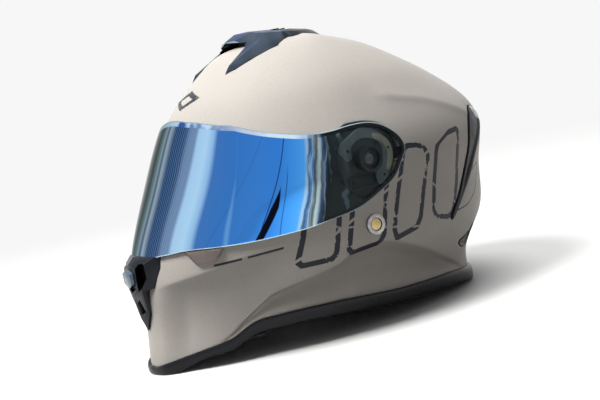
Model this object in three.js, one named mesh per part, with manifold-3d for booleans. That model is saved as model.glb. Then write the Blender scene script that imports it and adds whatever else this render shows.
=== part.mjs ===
// Full-face motorcycle helmet, in millimetres. +Z up, -Y is the wearer's front, +X the wearer's left.
// It rests upright on the flat chin and nape stretches of its base trim, at z = 0.
import * as THREE from "three";
import { mergeVertices } from "three/addons/utils/BufferGeometryUtils.js";
import { ConvexGeometry } from "three/addons/geometries/ConvexGeometry.js";
import Module from "manifold-3d";

const wasm = await Module();
wasm.setup();

// ---------------------------------------------------------------- driving dimensions
const Y_CENTRE = -0.4; // moving the helmet back by this puts its bounding box centre at y = 0

// Horizontal sections of the painted surface: level (0 base, 1 crown), z, front y, rear y,
// half width, y of the widest point, front exponent, rear exponent.
const SECTIONS = [
  [0.0, 3.0, -175.079, 141.743, 98.967, -5.998, 1.8, 2.2],
  [0.046, 17.0, -174.02, 141.743, 99.503, -5.966, 1.8, 2.2],
  [0.092, 31.0, -171.806, 141.919, 105.229, -5.562, 1.8, 2.2],
  [0.146, 47.0, -170.969, 149.135, 113.783, -4.554, 1.798, 2.2],
  [0.206, 65.0, -171.346, 162.166, 121.249, -2.837, 1.813, 2.2],
  [0.278, 87.0, -167.987, 168.765, 124.298, -1.184, 1.874, 2.199],
  [0.358, 111.0, -157.74, 172.439, 126.586, -0.31, 1.953, 2.2],
  [0.446, 137.0, -143.186, 179.678, 130.244, 0.513, 2.007, 2.204],
  [0.534, 163.0, -129.151, 174.681, 125.624, 1.169, 2.038, 2.179],
  [0.616, 187.0, -116.507, 152.81, 114.261, 2.633, 2.056, 2.136],
  [0.695, 209.0, -101.687, 123.873, 100.793, 4.121, 2.055, 2.106],
  [0.766, 227.0, -83.268, 97.248, 84.188, 3.444, 2.026, 2.083],
  [0.825, 241.0, -65.979, 70.454, 68.162, 5.872, 2.001, 2.053],
  [0.871, 250.5, -51.501, 39.95, 53.335, 11.813, 1.998, 2.018],
  [0.947, 257.205, -19.098, 12.149, 22.208, 9.788, 2.0, 1.998],
  [1.0, 259.405, 4.002, 4.002, 0.0, 4.002, 2.0, 2.0],
];
const SKIN_BOTTOM_Z = -30; // skins run down to here, below every lower edge
const FINE = { columns: 36, rows: 15 }; // mesh of the outer surfaces
const COARSE = { columns: 24, rows: 10 }; // mesh of the inner surfaces

const SHELL_T = 4.0; // painted shell thickness
const LINER_GAP = 1.0; // shell to impact liner
const VISOR_IN = 1.5; // painted surface to visor
const VISOR_T = 2.2;
const VISOR_OFF = VISOR_IN + VISOR_T; // painted surface to the visor's outer face
const GAP = 0.3; // clearance between fitted pieces
const FAR = 300; // beyond the helmet in any direction
const WIDE = [-FAR, FAR];

const PIVOT = [0.4, 141.0]; // visor axis, y and z
const POCKET_R = 34.0; // recess behind each end of the visor
const POCKET_X = 117.5;
const POCKET_FLOOR = 4.0;
const BOSS_X = POCKET_X - POCKET_FLOOR; // inner face of the boss that carries the pocket
const RIVET = [-6.2, 87.9]; // chin strap rivet, y and z
const RIVET_CORE_R = 4.9;

// Lower edge of the shell, and of the trim under it, in side view: y, z.
const EDGE_TOP = [
  [-200, 5.5], [-174, 6.5], [-165, 10.4], [-146, 15.3], [-127, 19], [-113.6, 26.8],
  [-105.4, 29.8], [-89.7, 30.6], [-67.6, 31.6], [-41, 31], [-14, 28], [16, 24.4],
  [43, 22.6], [77, 20.2], [115.6, 14.7], [141, 10.5], [200, 9],
];
const EDGE_LOW = [
  [-200, 0], [-166, 0], [-147.5, 8.6], [-126, 11.6], [-116.8, 17.2], [-106, 21.5], [-90, 22.4],
  [-67.7, 22.6], [-41, 20.2], [8, 14.1], [51.6, 11.6], [104, 7], [128, 0], [200, 0],
];
// Visor outline in side view: y, z.
const VISOR_OUT = [
  [-210, 206.3], [-102.4, 206.3], [-97, 200.5], [-90.1, 192], [-76.9, 183.2], [-60.2, 176.3],
  [-43.9, 171.9], [-28.2, 170.6], [-11.1, 171.6], [4.4, 170.7], [17, 166.4], [27.2, 157.6],
  [32, 149.3], [31.9, 140.9], [25.3, 131.5], [16.9, 120.8], [-3.1, 110.7], [-21.5, 104.2],
  [-43.7, 101.2], [-66.3, 98.8], [-101.9, 98.2], [-126.6, 99.4], [-149, 101.0], [-210, 100.6],
];
// Eye port outline in side view, inside the visor's: y, z.
const PORT = [
  [-210, 194], [-104, 194], [-90, 180], [-74, 171], [-58, 164], [-45, 157], [-38.5, 146],
  [-38.5, 134], [-44, 121], [-56, 113.5], [-78, 110.5], [-105, 110], [-130, 111.5], [-210, 112],
];
// Rear vent outlines in side view: y, z.
const EXHAUST = [
  [139.3, 161], [158.6, 150], [157.7, 145.1], [134.3, 122], [119.1, 104.2], [97, 86], [78, 68.5],
  [76, 73], [92.5, 90], [105.6, 107.8], [115, 124], [119.6, 140.9], [128, 155],
];
const LOW_VENT = [[125, 44], [108, 43.5], [93, 41.5], [101, 36.5], [112, 33.5], [124, 32.5]];
const REAR_VENT_X = 10; // both are cut from here outward

// ---------------------------------------------------------------- painted surface
function naturalSpline(xs, ys) {
  const count = xs.length;
  const bend = new Array(count).fill(0);
  const carry = new Array(count).fill(0);
  for (let i = 1; i < count - 1; i++) {
    const span = xs[i + 1] - xs[i - 1];
    const ratio = (xs[i] - xs[i - 1]) / span;
    const divisor = ratio * bend[i - 1] + 2;
    const slopeAfter = (ys[i + 1] - ys[i]) / (xs[i + 1] - xs[i]);
    const slopeBefore = (ys[i] - ys[i - 1]) / (xs[i] - xs[i - 1]);
    bend[i] = (ratio - 1) / divisor;
    carry[i] = ((6 * (slopeAfter - slopeBefore)) / span - ratio * carry[i - 1]) / divisor;
  }
  for (let i = count - 2; i >= 0; i--) bend[i] = bend[i] * bend[i + 1] + carry[i];
  return (x) => {
    let k = 0;
    while (k < count - 2 && x > xs[k + 1]) k++;
    const step = xs[k + 1] - xs[k];
    const low = (xs[k + 1] - x) / step;
    const high = (x - xs[k]) / step;
    const curve = (low ** 3 - low) * bend[k] + (high ** 3 - high) * bend[k + 1];
    return low * ys[k] + high * ys[k + 1] + (curve * step * step) / 6;
  };
}
const levels = SECTIONS.map((row) => row[0]);
const [zAt, frontAt, rearAt, halfWidthAt, widestAt, frontExponentAt, rearExponentAt] =
  [1, 2, 3, 4, 5, 6, 7].map((i) => naturalSpline(levels, SECTIONS.map((row) => row[i])));

// angle is 0 at the front and pi/2 at the wearer's left.
function surfacePoint(level, angle) {
  const cos = Math.cos(angle);
  const sin = Math.sin(angle);
  const exponent = cos >= 0 ? frontExponentAt(level) : rearExponentAt(level);
  const radius = 1 / (Math.abs(cos) ** exponent + Math.abs(sin) ** exponent) ** (1 / exponent);
  const widest = widestAt(level);
  const reach = cos >= 0 ? widest - frontAt(level) : rearAt(level) - widest;
  const y = widest - reach * radius * cos;
  return new THREE.Vector3(halfWidthAt(level) * radius * sin, y, zAt(level));
}
function surfaceNormal(level, angle) {
  const up = surfacePoint(level + 0.004, angle).sub(surfacePoint(level - 0.004, angle));
  const around = surfacePoint(level, angle + 0.01).sub(surfacePoint(level, angle - 0.01));
  return around.cross(up).normalize();
}

// ---------------------------------------------------------------- solids
function solid(geometry) {
  geometry.deleteAttribute("normal");
  geometry.deleteAttribute("uv");
  const merged = mergeVertices(geometry, 1e-3);
  const index = merged.index.array;
  const triangles = []; // without those that merging collapsed
  for (let i = 0; i < index.length; i += 3) {
    const [a, b, c] = index.slice(i, i + 3);
    if (a !== b && b !== c && a !== c) triangles.push(a, b, c);
  }
  return manifold(new Float32Array(merged.attributes.position.array), new Uint32Array(triangles));
}
function manifold(vertProperties, triVerts) {
  return new wasm.Manifold(new wasm.Mesh({ numProp: 3, vertProperties, triVerts }));
}
const cut = (body, ...tools) => tools.reduce((rest, tool) => rest.subtract(tool), body);
const join = (body, ...others) => others.reduce((sum, other) => sum.add(other), body);
const meet = (body, ...others) => others.reduce((common, other) => common.intersect(other), body);

function mirrored(body) { // left to right
  const mesh = body.getMesh();
  const positions = Float32Array.from(mesh.vertProperties, (v, i) => (i % 3 === 0 ? -v : v));
  const triangles = new Uint32Array(mesh.triVerts);
  for (let i = 0; i < triangles.length; i += 3) {
    [triangles[i + 1], triangles[i + 2]] = [triangles[i + 2], triangles[i + 1]];
  }
  return manifold(positions, triangles);
}
const bothSides = (left) => [left, mirrored(left)];

// The painted surface moved outward by offset (inward when negative), with a flat bottom.
function skin(offset, { columns, rows }) {
  const geometry = new THREE.SphereGeometry(1, columns, rows + 2);
  const position = geometry.attributes.position;
  const vertex = (row, angle) => {
    if (row === 0) return new THREE.Vector3(0, frontAt(1), zAt(1) + offset);
    if (row === rows + 2) return new THREE.Vector3(0, -6, SKIN_BOTTOM_Z);
    const level = row > rows ? 0 : 1 - row / rows;
    // At the base the surface moves level, so that the wall below it is upright.
    const normal = level > 0 ? surfaceNormal(level, angle) : surfaceNormal(0.03, angle).setZ(0);
    const point = surfacePoint(level, angle).addScaledVector(normal.normalize(), offset);
    return row === rows + 1 ? point.setZ(SKIN_BOTTOM_Z) : point;
  };
  for (let row = 0; row <= rows + 2; row++) {
    for (let column = 0; column <= columns; column++) {
      const point = vertex(row, ((column % columns) / columns) * 2 * Math.PI);
      position.setXYZ(row * (columns + 1) + column, point.x, point.y, point.z);
    }
  }
  return solid(geometry);
}
const fineSkin = (offset) => skin(offset, FINE);
const coarseSkin = (offset) => skin(offset, COARSE);

// A superellipsoid: an ellipsoid that grows boxier as the exponent rises above 2.
function egg([cx, cy, cz], [rx, ry, rz], exponent, columns = 20, rows = 10) {
  const geometry = new THREE.SphereGeometry(1, columns, rows);
  const position = geometry.attributes.position;
  for (let k = 0; k < position.count; k++) {
    const { x, y, z } = new THREE.Vector3().fromBufferAttribute(position, k);
    const powers = Math.abs(x) ** exponent + Math.abs(y) ** exponent + Math.abs(z) ** exponent;
    const size = powers ** (1 / exponent);
    position.setXYZ(k, cx + (rx * x) / size, cy + (ry * y) / size, cz + (rz * z) / size);
  }
  return solid(geometry);
}

const [UNIT_X, UNIT_Y, UNIT_Z] = [[1, 0, 0], [0, 1, 0], [0, 0, 1]].map(
  (unit) => new THREE.Vector3(...unit),
);
const AXES = {
  x: new THREE.Matrix4().makeBasis(UNIT_Y, UNIT_Z, UNIT_X),
  y: new THREE.Matrix4().makeBasis(UNIT_Z, UNIT_X, UNIT_Y),
};
// An outline extruded along an axis: [y, z] points along x, [z, x] points along y.
function prismShape(axis, outline, from, to) {
  const shape = new THREE.Shape(outline.map(([a, b]) => new THREE.Vector2(a, b)));
  const geometry = new THREE.ExtrudeGeometry(shape, { depth: to - from, bevelEnabled: false });
  return geometry.translate(0, 0, from).applyMatrix4(AXES[axis]);
}
const prism = (...args) => solid(prismShape(...args));
const sidePrism = (outline, from = -FAR, to = FAR) => prism("x", outline, from, to);
function disc(axis, [a, b], radius, from, to, sides = 32) {
  const outline = [];
  for (let i = 0; i < sides; i++) {
    const angle = (i / sides) * 2 * Math.PI;
    outline.push([a + radius * Math.cos(angle), b + radius * Math.sin(angle)]);
  }
  return prism(axis, outline, from, to);
}
const pivotDisc = (...args) => disc("x", PIVOT, ...args);
const rivetDisc = (...args) => disc("x", RIVET, ...args);
function block([x0, x1], [y0, y1], [z0, z1]) {
  const geometry = new THREE.BoxGeometry(x1 - x0, y1 - y0, z1 - z0);
  return solid(geometry.translate((x0 + x1) / 2, (y0 + y1) / 2, (z0 + z1) / 2));
}
const hullShape = (points) => new ConvexGeometry(points.map((p) => new THREE.Vector3(...p)));
const hull = (points) => solid(hullShape(points));
// Hull points given for the left side and the middle, completed on the right.
const sided = (points) =>
  points.flatMap(([x, y, z]) => (x === 0 ? [[0, y, z]] : [[x, y, z], [-x, y, z]]));
// The same [x, z] points repeated at each y.
const repeatedAt = (ys, points) => ys.flatMap((y) => points.map(([x, z]) => [x, y, z]));

// An outline moved outward by distance, measured square to its edges; sharp corners are limited.
function grown(outline, distance) {
  const count = outline.length;
  const area = outline.reduce((sum, [a, b], i) => {
    const [nextA, nextB] = outline[(i + 1) % count];
    return sum + a * nextB - nextA * b;
  }, 0);
  const turn = area > 0 ? 1 : -1;
  return outline.map(([a, b], i) => {
    const [lastA, lastB] = outline[(i + count - 1) % count];
    const [nextA, nextB] = outline[(i + 1) % count];
    const before = new THREE.Vector2(a - lastA, b - lastB).normalize();
    const after = new THREE.Vector2(nextA - a, nextB - b).normalize();
    const mitre = new THREE.Vector2(before.y + after.y, -(before.x + after.x)).normalize();
    const cosine = mitre.x * before.y - mitre.y * before.x;
    const stretch = Math.min(2.5, 1 / Math.max(0.3, cosine));
    return [a + mitre.x * distance * stretch * turn, b + mitre.y * distance * stretch * turn];
  });
}
const band = (low, high) => [...low, ...high.slice().reverse()];
// Everything above a side-view line raised by rise.
function above(line, rise) {
  const raised = line.map(([y, z]) => [y, z + rise]);
  const low = [[-260, raised[0][1]], ...raised, [260, raised.at(-1)[1]]];
  return sidePrism(band(low, [[-260, 400], [260, 400]]));
}

// ---------------------------------------------------------------- scene graph and materials
const root = new THREE.Group();
function groupAt(origin, parent = helmet) {
  const group = new THREE.Group();
  group.position.set(...origin);
  parent.add(group);
  return group;
}
const helmet = groupAt([0, -Y_CENTRE, 0], root);

const MATERIALS = {
  paint: { color: 0xb3aca3, roughness: 0.62, metalness: 0.1 },
  black: { color: 0x1b1e26, roughness: 0.42, metalness: 0.0 },
  rubber: { color: 0x17191e, roughness: 0.8, metalness: 0.0 },
  foam: { color: 0x2a2b2e, roughness: 0.95, metalness: 0.0 },
  cloth: { color: 0x1c1d21, roughness: 0.95, metalness: 0.0 },
  webbing: { color: 0x15161a, roughness: 0.9, metalness: 0.0 },
  visor: { color: 0x2f6fd0, roughness: 0.06, metalness: 0.85 },
  tab: { color: 0x8a7c78, roughness: 0.3, metalness: 0.0 },
  steel: { color: 0xb9bbbd, roughness: 0.3, metalness: 0.9 },
  brass: { color: 0xb7a274, roughness: 0.35, metalness: 0.9 },
  mech: { color: 0x33383a, roughness: 0.5, metalness: 0.0 },
  red: { color: 0x9a1e1e, roughness: 0.5, metalness: 0.0 },
};
// The geometry is kept about origin, which is where its group stands.
function place(name, body, material, group = helmet, origin = [0, 0, 0]) {
  const mesh = body.getMesh();
  const positions = Float32Array.from(mesh.vertProperties, (v, i) => v - origin[i % 3]);
  const geometry = new THREE.BufferGeometry()
    .setAttribute("position", new THREE.BufferAttribute(positions, 3))
    .setIndex(new THREE.BufferAttribute(new Uint32Array(mesh.triVerts), 1));
  geometry.computeVertexNormals();
  const object = new THREE.Mesh(geometry, new THREE.MeshStandardMaterial(MATERIALS[material]));
  object.name = name;
  group.add(object);
}
function pair(name, left, ...rest) {
  place(name + "_left", left, ...rest);
  place(name + "_right", mirrored(left), ...rest);
}

// ---------------------------------------------------------------- shared cutters
const SCREW_SHAFT_R = 2.3;
const outer = fineSkin(0);
const proud = fineSkin(GAP); // keeps surface-mounted pieces clear of the paint
const linerOuter = coarseSkin(-SHELL_T - LINER_GAP);
const pivotBore = pivotDisc(SCREW_SHAFT_R + GAP, 100, FAR, 16);
const portRoom = sidePrism(grown(PORT, 6)); // eye port as cut through the liners

// ---------------------------------------------------------------- shell
// The pocket follows the visor's rounded end; a shallow relief behind it lets that end swing
// down as the visor lifts.
function visorPocket() {
  const rounded = pivotDisc(POCKET_R, POCKET_X, FAR, 40);
  const relief = meet(
    pivotDisc(33.7, 127.0, FAR, 48),
    block([100, FAR], [16, 60], [124, 153]),
  );
  return join(meet(rounded, sidePrism(grown(VISOR_OUT, 0.9), 0)), relief);
}
function outerShell() {
  const boss = pivotDisc(POCKET_R + 3, BOSS_X, FAR, 40);
  const rivetBore = rivetDisc(RIVET_CORE_R + GAP, 60, FAR, 24);
  const topSlots = join(
    block([-24, 24], [-34, -22], [200, FAR]),
    block([-14, 14], [30, 38], [200, FAR]),
  );
  const chinSlot = block([-9, 9], [-220, -120], [46, 66]);
  const shell = cut(
    outer,
    cut(coarseSkin(-SHELL_T), ...bothSides(boss)),
    sidePrism(PORT),
    ...bothSides(visorPocket()),
    ...bothSides(pivotBore),
    ...bothSides(rivetBore),
    topSlots,
    chinSlot,
    ...bothSides(sidePrism(grown(EXHAUST, GAP), REAR_VENT_X)),
    ...bothSides(sidePrism(grown(LOW_VENT, GAP), REAR_VENT_X)),
  );
  return meet(shell, above(EDGE_TOP, GAP));
}
place("outer_shell", outerShell(), "paint");

// ---------------------------------------------------------------- base trim and eye port gasket
function baseTrim() {
  return meet(cut(fineSkin(1.2), coarseSkin(-7)), sidePrism(band(EDGE_LOW, EDGE_TOP)));
}
function eyeportGasket() {
  const frame = cut(sidePrism(grown(PORT, -GAP)), sidePrism(grown(PORT, -4.2)));
  const aroundPort = block(WIDE, [-FAR, -38], [80, 220]);
  return meet(cut(fineSkin(0.8), coarseSkin(-6)), frame, aroundPort);
}
place("base_trim", baseTrim(), "rubber");
place("eyeport_gasket", eyeportGasket(), "rubber");

// ---------------------------------------------------------------- impact liner
const HEAD_CENTRE = [0, 22, 125];
const CAVITY_RADII = [88, 116, 105.5];
const HEAD_EXPONENT = 2.4;
// Side view: y, z.
const CROWN_LINER_SIDE = [
  [-300, 186], [-300, 400], [300, 400], [300, -50], [24, -50],
  [24, 115], [-24, 122], [-60, 178], [-92, 186],
];
const CHIN_LINER_SIDE = [[-300, 22], [-58, 38], [-58, 104], [-300, 104]];

// Egg-shaped above its centre, and much deeper below it.
function headCavity() {
  const [rx, ry] = CAVITY_RADII;
  const lower = meet(
    egg(HEAD_CENTRE, [rx, ry, 200], HEAD_EXPONENT),
    block(WIDE, WIDE, [-100, HEAD_CENTRE[2]]),
  );
  return join(egg(HEAD_CENTRE, CAVITY_RADII, HEAD_EXPONENT), lower);
}
function crownLiner() {
  const pivotRoom = pivotDisc(POCKET_R + 4.5, BOSS_X - 1.2, FAR, 32);
  const strapRoom = block([88, FAR], [-24, 12], [-50, 103]);
  const hollow = cut(
    linerOuter,
    headCavity(),
    portRoom,
    ...bothSides(pivotRoom),
    ...bothSides(strapRoom),
  );
  const crown = meet(hollow, above(EDGE_TOP, 14), sidePrism(CROWN_LINER_SIDE));
  const topChannel = block([-13, 13], [-60, 60], [236, FAR]);
  return cut(crown, topChannel);
}
function chinLiner() {
  const chin = meet(cut(linerOuter, coarseSkin(-17)), sidePrism(CHIN_LINER_SIDE));
  return cut(chin, portRoom, block([-12, 12], [-FAR, -100], [44, 68]));
}
place("eps_crown_liner", crownLiner(), "foam");
place("eps_chin_liner", chinLiner(), "foam");

// ---------------------------------------------------------------- comfort lining
const PAD_CLEARANCE = 1.2; // liner cavity to crown pad
const CROWN_PAD_SIDE = [ // y, z
  [-72, 186], [-72, 300], [200, 300], [200, 104], [40, 104], [-20, 152], [-48, 186],
];
const CHEEK_PAD = [ // x, y, z
  [56, -92, 52], [56, -92, 94], [58, -60, 46], [58, -60, 103], [63, 8, 46], [63, 8, 112],
  [90, 18, 52], [90, 18, 112], [97, -20, 48], [96, -20, 108], [82, -62, 46], [82, -62, 99],
  [67, -88, 50], [67, -88, 92],
];
const DEFLECTOR_SIDE = [[-300, 84], [-118, 84], [-118, 121], [-300, 116]]; // y, z

function crownPad() {
  const outerRadii = CAVITY_RADII.map((radius) => radius - PAD_CLEARANCE);
  const pad = cut(
    egg(HEAD_CENTRE, outerRadii, HEAD_EXPONENT),
    egg(HEAD_CENTRE, [76, 101, 94], HEAD_EXPONENT),
  );
  return meet(pad, sidePrism(CROWN_PAD_SIDE));
}
function neckRoll() {
  const centre = [0, 16, 44];
  const ring = cut(
    egg(centre, [81, 104, 14], HEAD_EXPONENT, 28, 8),
    egg(centre, [68, 92, 60], HEAD_EXPONENT, 28, 10),
  );
  return meet(ring, block(WIDE, [26, FAR], [20, 80]));
}
function chinCurtain() {
  const sheet = meet(coarseSkin(-8), block(WIDE, [-FAR, -96], [18, 20.4]));
  return cut(sheet, egg([0, -70, 19], [70, 72, 40], 2.2, 28, 8));
}
function breathDeflector() {
  return meet(cut(coarseSkin(-25), coarseSkin(-28)), sidePrism(DEFLECTOR_SIDE));
}
place("crown_pad", crownPad(), "cloth");
pair("cheek_pad", hull(CHEEK_PAD), "cloth");
place("neck_roll", neckRoll(), "cloth");
place("chin_curtain", chinCurtain(), "cloth");
place("breath_deflector", breathDeflector(), "rubber");

// ---------------------------------------------------------------- visor
// Left half of the visor's front outline, z and x: its top edge drops from middle to side.
const VISOR_FRONT_HALF = [
  [60, 140], [193.8, 140], [193.8, 66], [194.9, 60], [197.6, 52.5],
  [200.4, 40.6], [202.4, 27.4], [204, 14], [204.8, 5],
];
const LIFT_TAB_SIDE = [[-146, 100.2], [-125, 98.6], [-131, 89.5], [-142, 89.5]]; // y, z
const PLATE_X = POCKET_X + GAP; // inner face of the pieces that sit in the pocket
const PLATE_TOP_X = 120.4;
const POST_TOP_X = 127.0; // the visor turns on this post
const PLATE_WINDOW = [[-21.5, 118], [7, 118], [7, 132], [-9, 132], [-21.5, 129.5]]; // y, z

function visor() {
  const rightHalf = [...VISOR_FRONT_HALF].reverse().map(([z, x]) => [z, -x]);
  return meet(
    cut(fineSkin(VISOR_OFF), fineSkin(VISOR_IN)),
    sidePrism(VISOR_OUT),
    prism("y", [...VISOR_FRONT_HALF, ...rightHalf], -FAR, 60),
  );
}
function visorLiftTab() {
  const tab = meet(cut(fineSkin(4.6), fineSkin(1.4)), sidePrism(LIFT_TAB_SIDE, 20, 120));
  const visorRoom = meet(
    cut(fineSkin(VISOR_OFF + GAP), fineSkin(VISOR_IN - GAP)),
    sidePrism(grown(VISOR_OUT, GAP)),
  );
  return cut(tab, visorRoom);
}
function visorHub() {
  const ring = cut(pivotDisc(11, 121.2, FAR), pivotDisc(8.3, 100, FAR));
  return meet(ring, fineSkin(VISOR_IN - GAP));
}
function visorBasePlate() {
  const screwHeadRoom = pivotDisc(5.2, 124.6, FAR, 24);
  const plate = cut(
    join(pivotDisc(29.5, PLATE_X, PLATE_TOP_X, 40), pivotDisc(7.9, PLATE_X, POST_TOP_X)),
    pivotBore,
    screwHeadRoom,
    sidePrism(PLATE_WINDOW, 100, 200),
  );
  return meet(plate, sidePrism(grown(VISOR_OUT, -1.2), 0));
}
function pivotScrew() {
  const [y, z] = PIVOT;
  const shaft = pivotDisc(SCREW_SHAFT_R, 114.2, 125, 16);
  const head = pivotDisc(4.6, 124.9, 126.8, 24);
  const driverSlot = block([126, 200], [y - 3, y + 3], [z - 0.5, z + 0.5]);
  return cut(join(shaft, head), driverSlot);
}
const VISOR_ORIGIN = [0, ...PIVOT];
const visorGroup = groupAt(VISOR_ORIGIN);
place("visor", visor(), "visor", visorGroup, VISOR_ORIGIN);
place("visor_lift_tab", visorLiftTab(), "tab", visorGroup, VISOR_ORIGIN);
pair("visor_hub", visorHub(), "mech", visorGroup, VISOR_ORIGIN);
pair("visor_base_plate", visorBasePlate(), "mech");
pair("pivot_screw", pivotScrew(), "steel");

// ---------------------------------------------------------------- visor release levers
const RELEASE_PIVOT = [-16, 124]; // y, z
const RELEASE_ARM = [[-16, 127], [3.5, 126.5], [4.8, 124], [3.5, 121.5], [-16, 121]]; // y, z
const RELEASE_TOP_X = 120.3;

function releaseLever() {
  return cut(
    join(
      disc("x", RELEASE_PIVOT, 3.8, PLATE_X, RELEASE_TOP_X, 20),
      sidePrism(RELEASE_ARM, PLATE_X, RELEASE_TOP_X),
    ),
    disc("x", RELEASE_PIVOT, 1.5, 100, 200, 16),
  );
}
bothSides(releaseLever()).forEach((lever, i) => {
  const origin = [0, ...RELEASE_PIVOT];
  place("release_lever_" + ["left", "right"][i], lever, "red", groupAt(origin), origin);
});

// ---------------------------------------------------------------- strap rivets
function rivetRing() {
  return cut(rivetDisc(8.4, 110, 126.6), rivetDisc(5.4, 100, 200, 24), proud);
}
pair("strap_rivet_ring", rivetRing(), "steel");
pair("strap_rivet_core", rivetDisc(RIVET_CORE_R, 112.8, 126.2, 24), "brass");

// ---------------------------------------------------------------- top scoop
// Hull points: x, y, z.
const HOOD = sided([
  [0, -43, 261.8], [14, -40, 261], [27, -31.4, 257.8], [0, -32.6, 267], [0, -19.4, 267.6],
  [20, -27, 265.4], [33, -20, 262], [0, -4.7, 265.4], [20, -8, 264.4], [40, -6, 259.8],
  [52.3, -19.8, 248.4], [51, -32.6, 245.4], [0, -30, 240], [48, -30, 236], [44, -2, 250],
  [30, -2, 246],
]);
const HOOD_LEG = [
  [27, -31.4, 257.8], [36.8, -66.6, 233.8], [37.5, -62, 240], [43.3, -58.6, 236.4],
  [48.4, -45.4, 241.6], [51, -32.6, 245.4], [38, -26, 257], [28, -34, 246],
  [30, -52, 238], [36.8, -64, 228], [45, -40, 232],
];
const MOUTH = sided([
  [0, -70, 258.6], [23, -62, 256.2], [0, -70, 236], [23, -62, 236],
  [0, -18, 262.8], [20, -20, 259.6], [0, -18, 236], [20, -20, 236],
]);
const TAIL = sided([
  [0, -6, 265.4], [28, -4, 262], [40, -6, 259.8], [43.8, 0.6, 254.2], [43, 8, 253.6],
  [40, 22, 252], [35, 18, 257.2], [36, 32, 250], [28, 42, 247.6], [22, 34, 256.6],
  [14, 50, 246.8], [0, 54, 246], [0, 43, 257.6], [0, 14, 263.4], [0, 31, 261.2],
  [18, 14, 262], [18, 30, 259], [0, -6, 236], [40, -6, 236], [36, 30, 236], [0, 50, 236],
]);
const SLIDER = { halfWidth: 7, front: -3, rear: 15, bottom: 260.9, travel: 8 };

function topVentCowl() {
  const body = join(hull(HOOD), ...bothSides(hull(HOOD_LEG)), hull(TAIL));
  const pieces = cut(body, hull(MOUTH), proud).decompose();
  const largest = pieces.sort((a, b) => b.volume() - a.volume())[0];
  const roomX = SLIDER.halfWidth + GAP;
  const sliderRoom = block(
    [-roomX, roomX],
    [SLIDER.front - GAP, SLIDER.rear + SLIDER.travel + GAP],
    [SLIDER.bottom - GAP, FAR],
  );
  return cut(largest, sliderRoom);
}
function topVentSlider() {
  const { halfWidth, front, rear, bottom } = SLIDER;
  return cut(
    join(
      block([-halfWidth, halfWidth], [front, rear], [bottom, 264.2]),
      block([-5, 5], [2, 10], [264.1, 265.3]),
    ),
    block([-8, 8], [3, 5], [264.8, FAR]),
    block([-8, 8], [6.5, 8.5], [264.8, FAR]),
  );
}
place("top_vent_cowl", topVentCowl(), "black");
place("top_vent_slider", topVentSlider(), "mech");

// ---------------------------------------------------------------- chin vent
const BEAK = sided([ // x, y, z
  [0, -170.8, 101], [30, -163, 99.5], [33, -150, 99], [0, -176.6, 95.5], [0, -179.4, 84.1],
  [0, -178.8, 68.3], [0, -176.3, 49.1], [0, -172.6, 36.8], [17, -176, 92], [17, -176, 76],
  [31.5, -161, 89.5], [24.5, -166.5, 74.5], [16.6, -171, 72], [11.2, -172, 52],
  [0, -150, 36.8], [24, -150, 74],
]);
const BEAK_FRONT = [ // z, x
  [101.2, 33], [99, 33.5], [89.1, 31.9], [73.8, 23.8], [72.5, 16.5], [51.9, 11.1], [36.5, 0],
  [51.9, -11.1], [72.5, -16.5], [73.8, -23.8], [89.1, -31.9], [99, -33.5], [101.2, -33],
];
const INTAKE = [[3, 62], [9, 66], [9, 54], [3, 52]]; // x, z
const BUTTON = { z: 84, halfHeight: 8.2, halfWidth: 9.2, back: -174.9, travel: 4, clearance: 0.4 };
const VENT_FRONT_Y = -230; // chin vent cutters start here, in front of the beak

function hexPrism(z, halfHeight, halfWidth, y0, y1) {
  const corner = halfHeight * 0.55;
  const outline = [
    [halfHeight, 0], [corner, halfWidth], [-corner, halfWidth],
    [-halfHeight, 0], [-corner, -halfWidth], [corner, -halfWidth],
  ];
  return prism("y", outline.map(([dz, x]) => [dz + z, x]), y0, y1);
}
// Room for the button at both ends of its downward travel and between them.
function buttonRoom() {
  const halfHeight = BUTTON.halfHeight + BUTTON.clearance;
  const halfWidth = BUTTON.halfWidth + BUTTON.clearance;
  const depth = [VENT_FRONT_Y, BUTTON.back + GAP];
  return join(
    hexPrism(BUTTON.z, halfHeight, halfWidth, ...depth),
    hexPrism(BUTTON.z - BUTTON.travel, halfHeight, halfWidth, ...depth),
    block([-halfWidth, halfWidth], depth, [79.9, 84.1]),
  );
}
function chinVentFrame() {
  const beak = meet(hull(BEAK), prism("y", BEAK_FRONT, VENT_FRONT_Y, -100));
  const intakes = join(...bothSides(hull(repeatedAt([VENT_FRONT_Y, -100], INTAKE))));
  return cut(beak, proud, buttonRoom(), intakes);
}
function chinVentButton() {
  return hexPrism(BUTTON.z, BUTTON.halfHeight, BUTTON.halfWidth, -180.6, BUTTON.back);
}
function chinVentMesh() {
  const sheet = cut(coarseSkin(-SHELL_T - 0.4), coarseSkin(-SHELL_T - 1.2));
  return meet(sheet, block([-11.5, 11.5], [-220, -120], [44.5, 67.5]));
}
place("chin_vent_frame", chinVentFrame(), "black");
place("chin_vent_button", chinVentButton(), "mech");
place("chin_vent_mesh", chinVentMesh(), "steel");

// ---------------------------------------------------------------- rear vents
function rearVent(outline, standOff) {
  return meet(cut(fineSkin(standOff), coarseSkin(-3)), sidePrism(outline, REAR_VENT_X));
}
pair("rear_exhaust", rearVent(EXHAUST, 1.6), "black");
pair("rear_lower_vent", rearVent(LOW_VENT, 0.4), "black");

// ---------------------------------------------------------------- chin strap
const STRAP_Y = [-17, 5];
const STRAP_T = 2;
const LEAN = 0.75; // forward run of the strap per millimetre of drop
const LEAN_Z = 88; // the lean starts below this height
const BUCKLE_Z = 32.5;
// Left strap before it is leaned, front view: x, z.
const STRAP_LINE = [
  [109, 98], [109, 84], [107, 68], [103, 54], [95, 43], [82, 36.5], [66, 33.5], [48, BUCKLE_Z],
];
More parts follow.
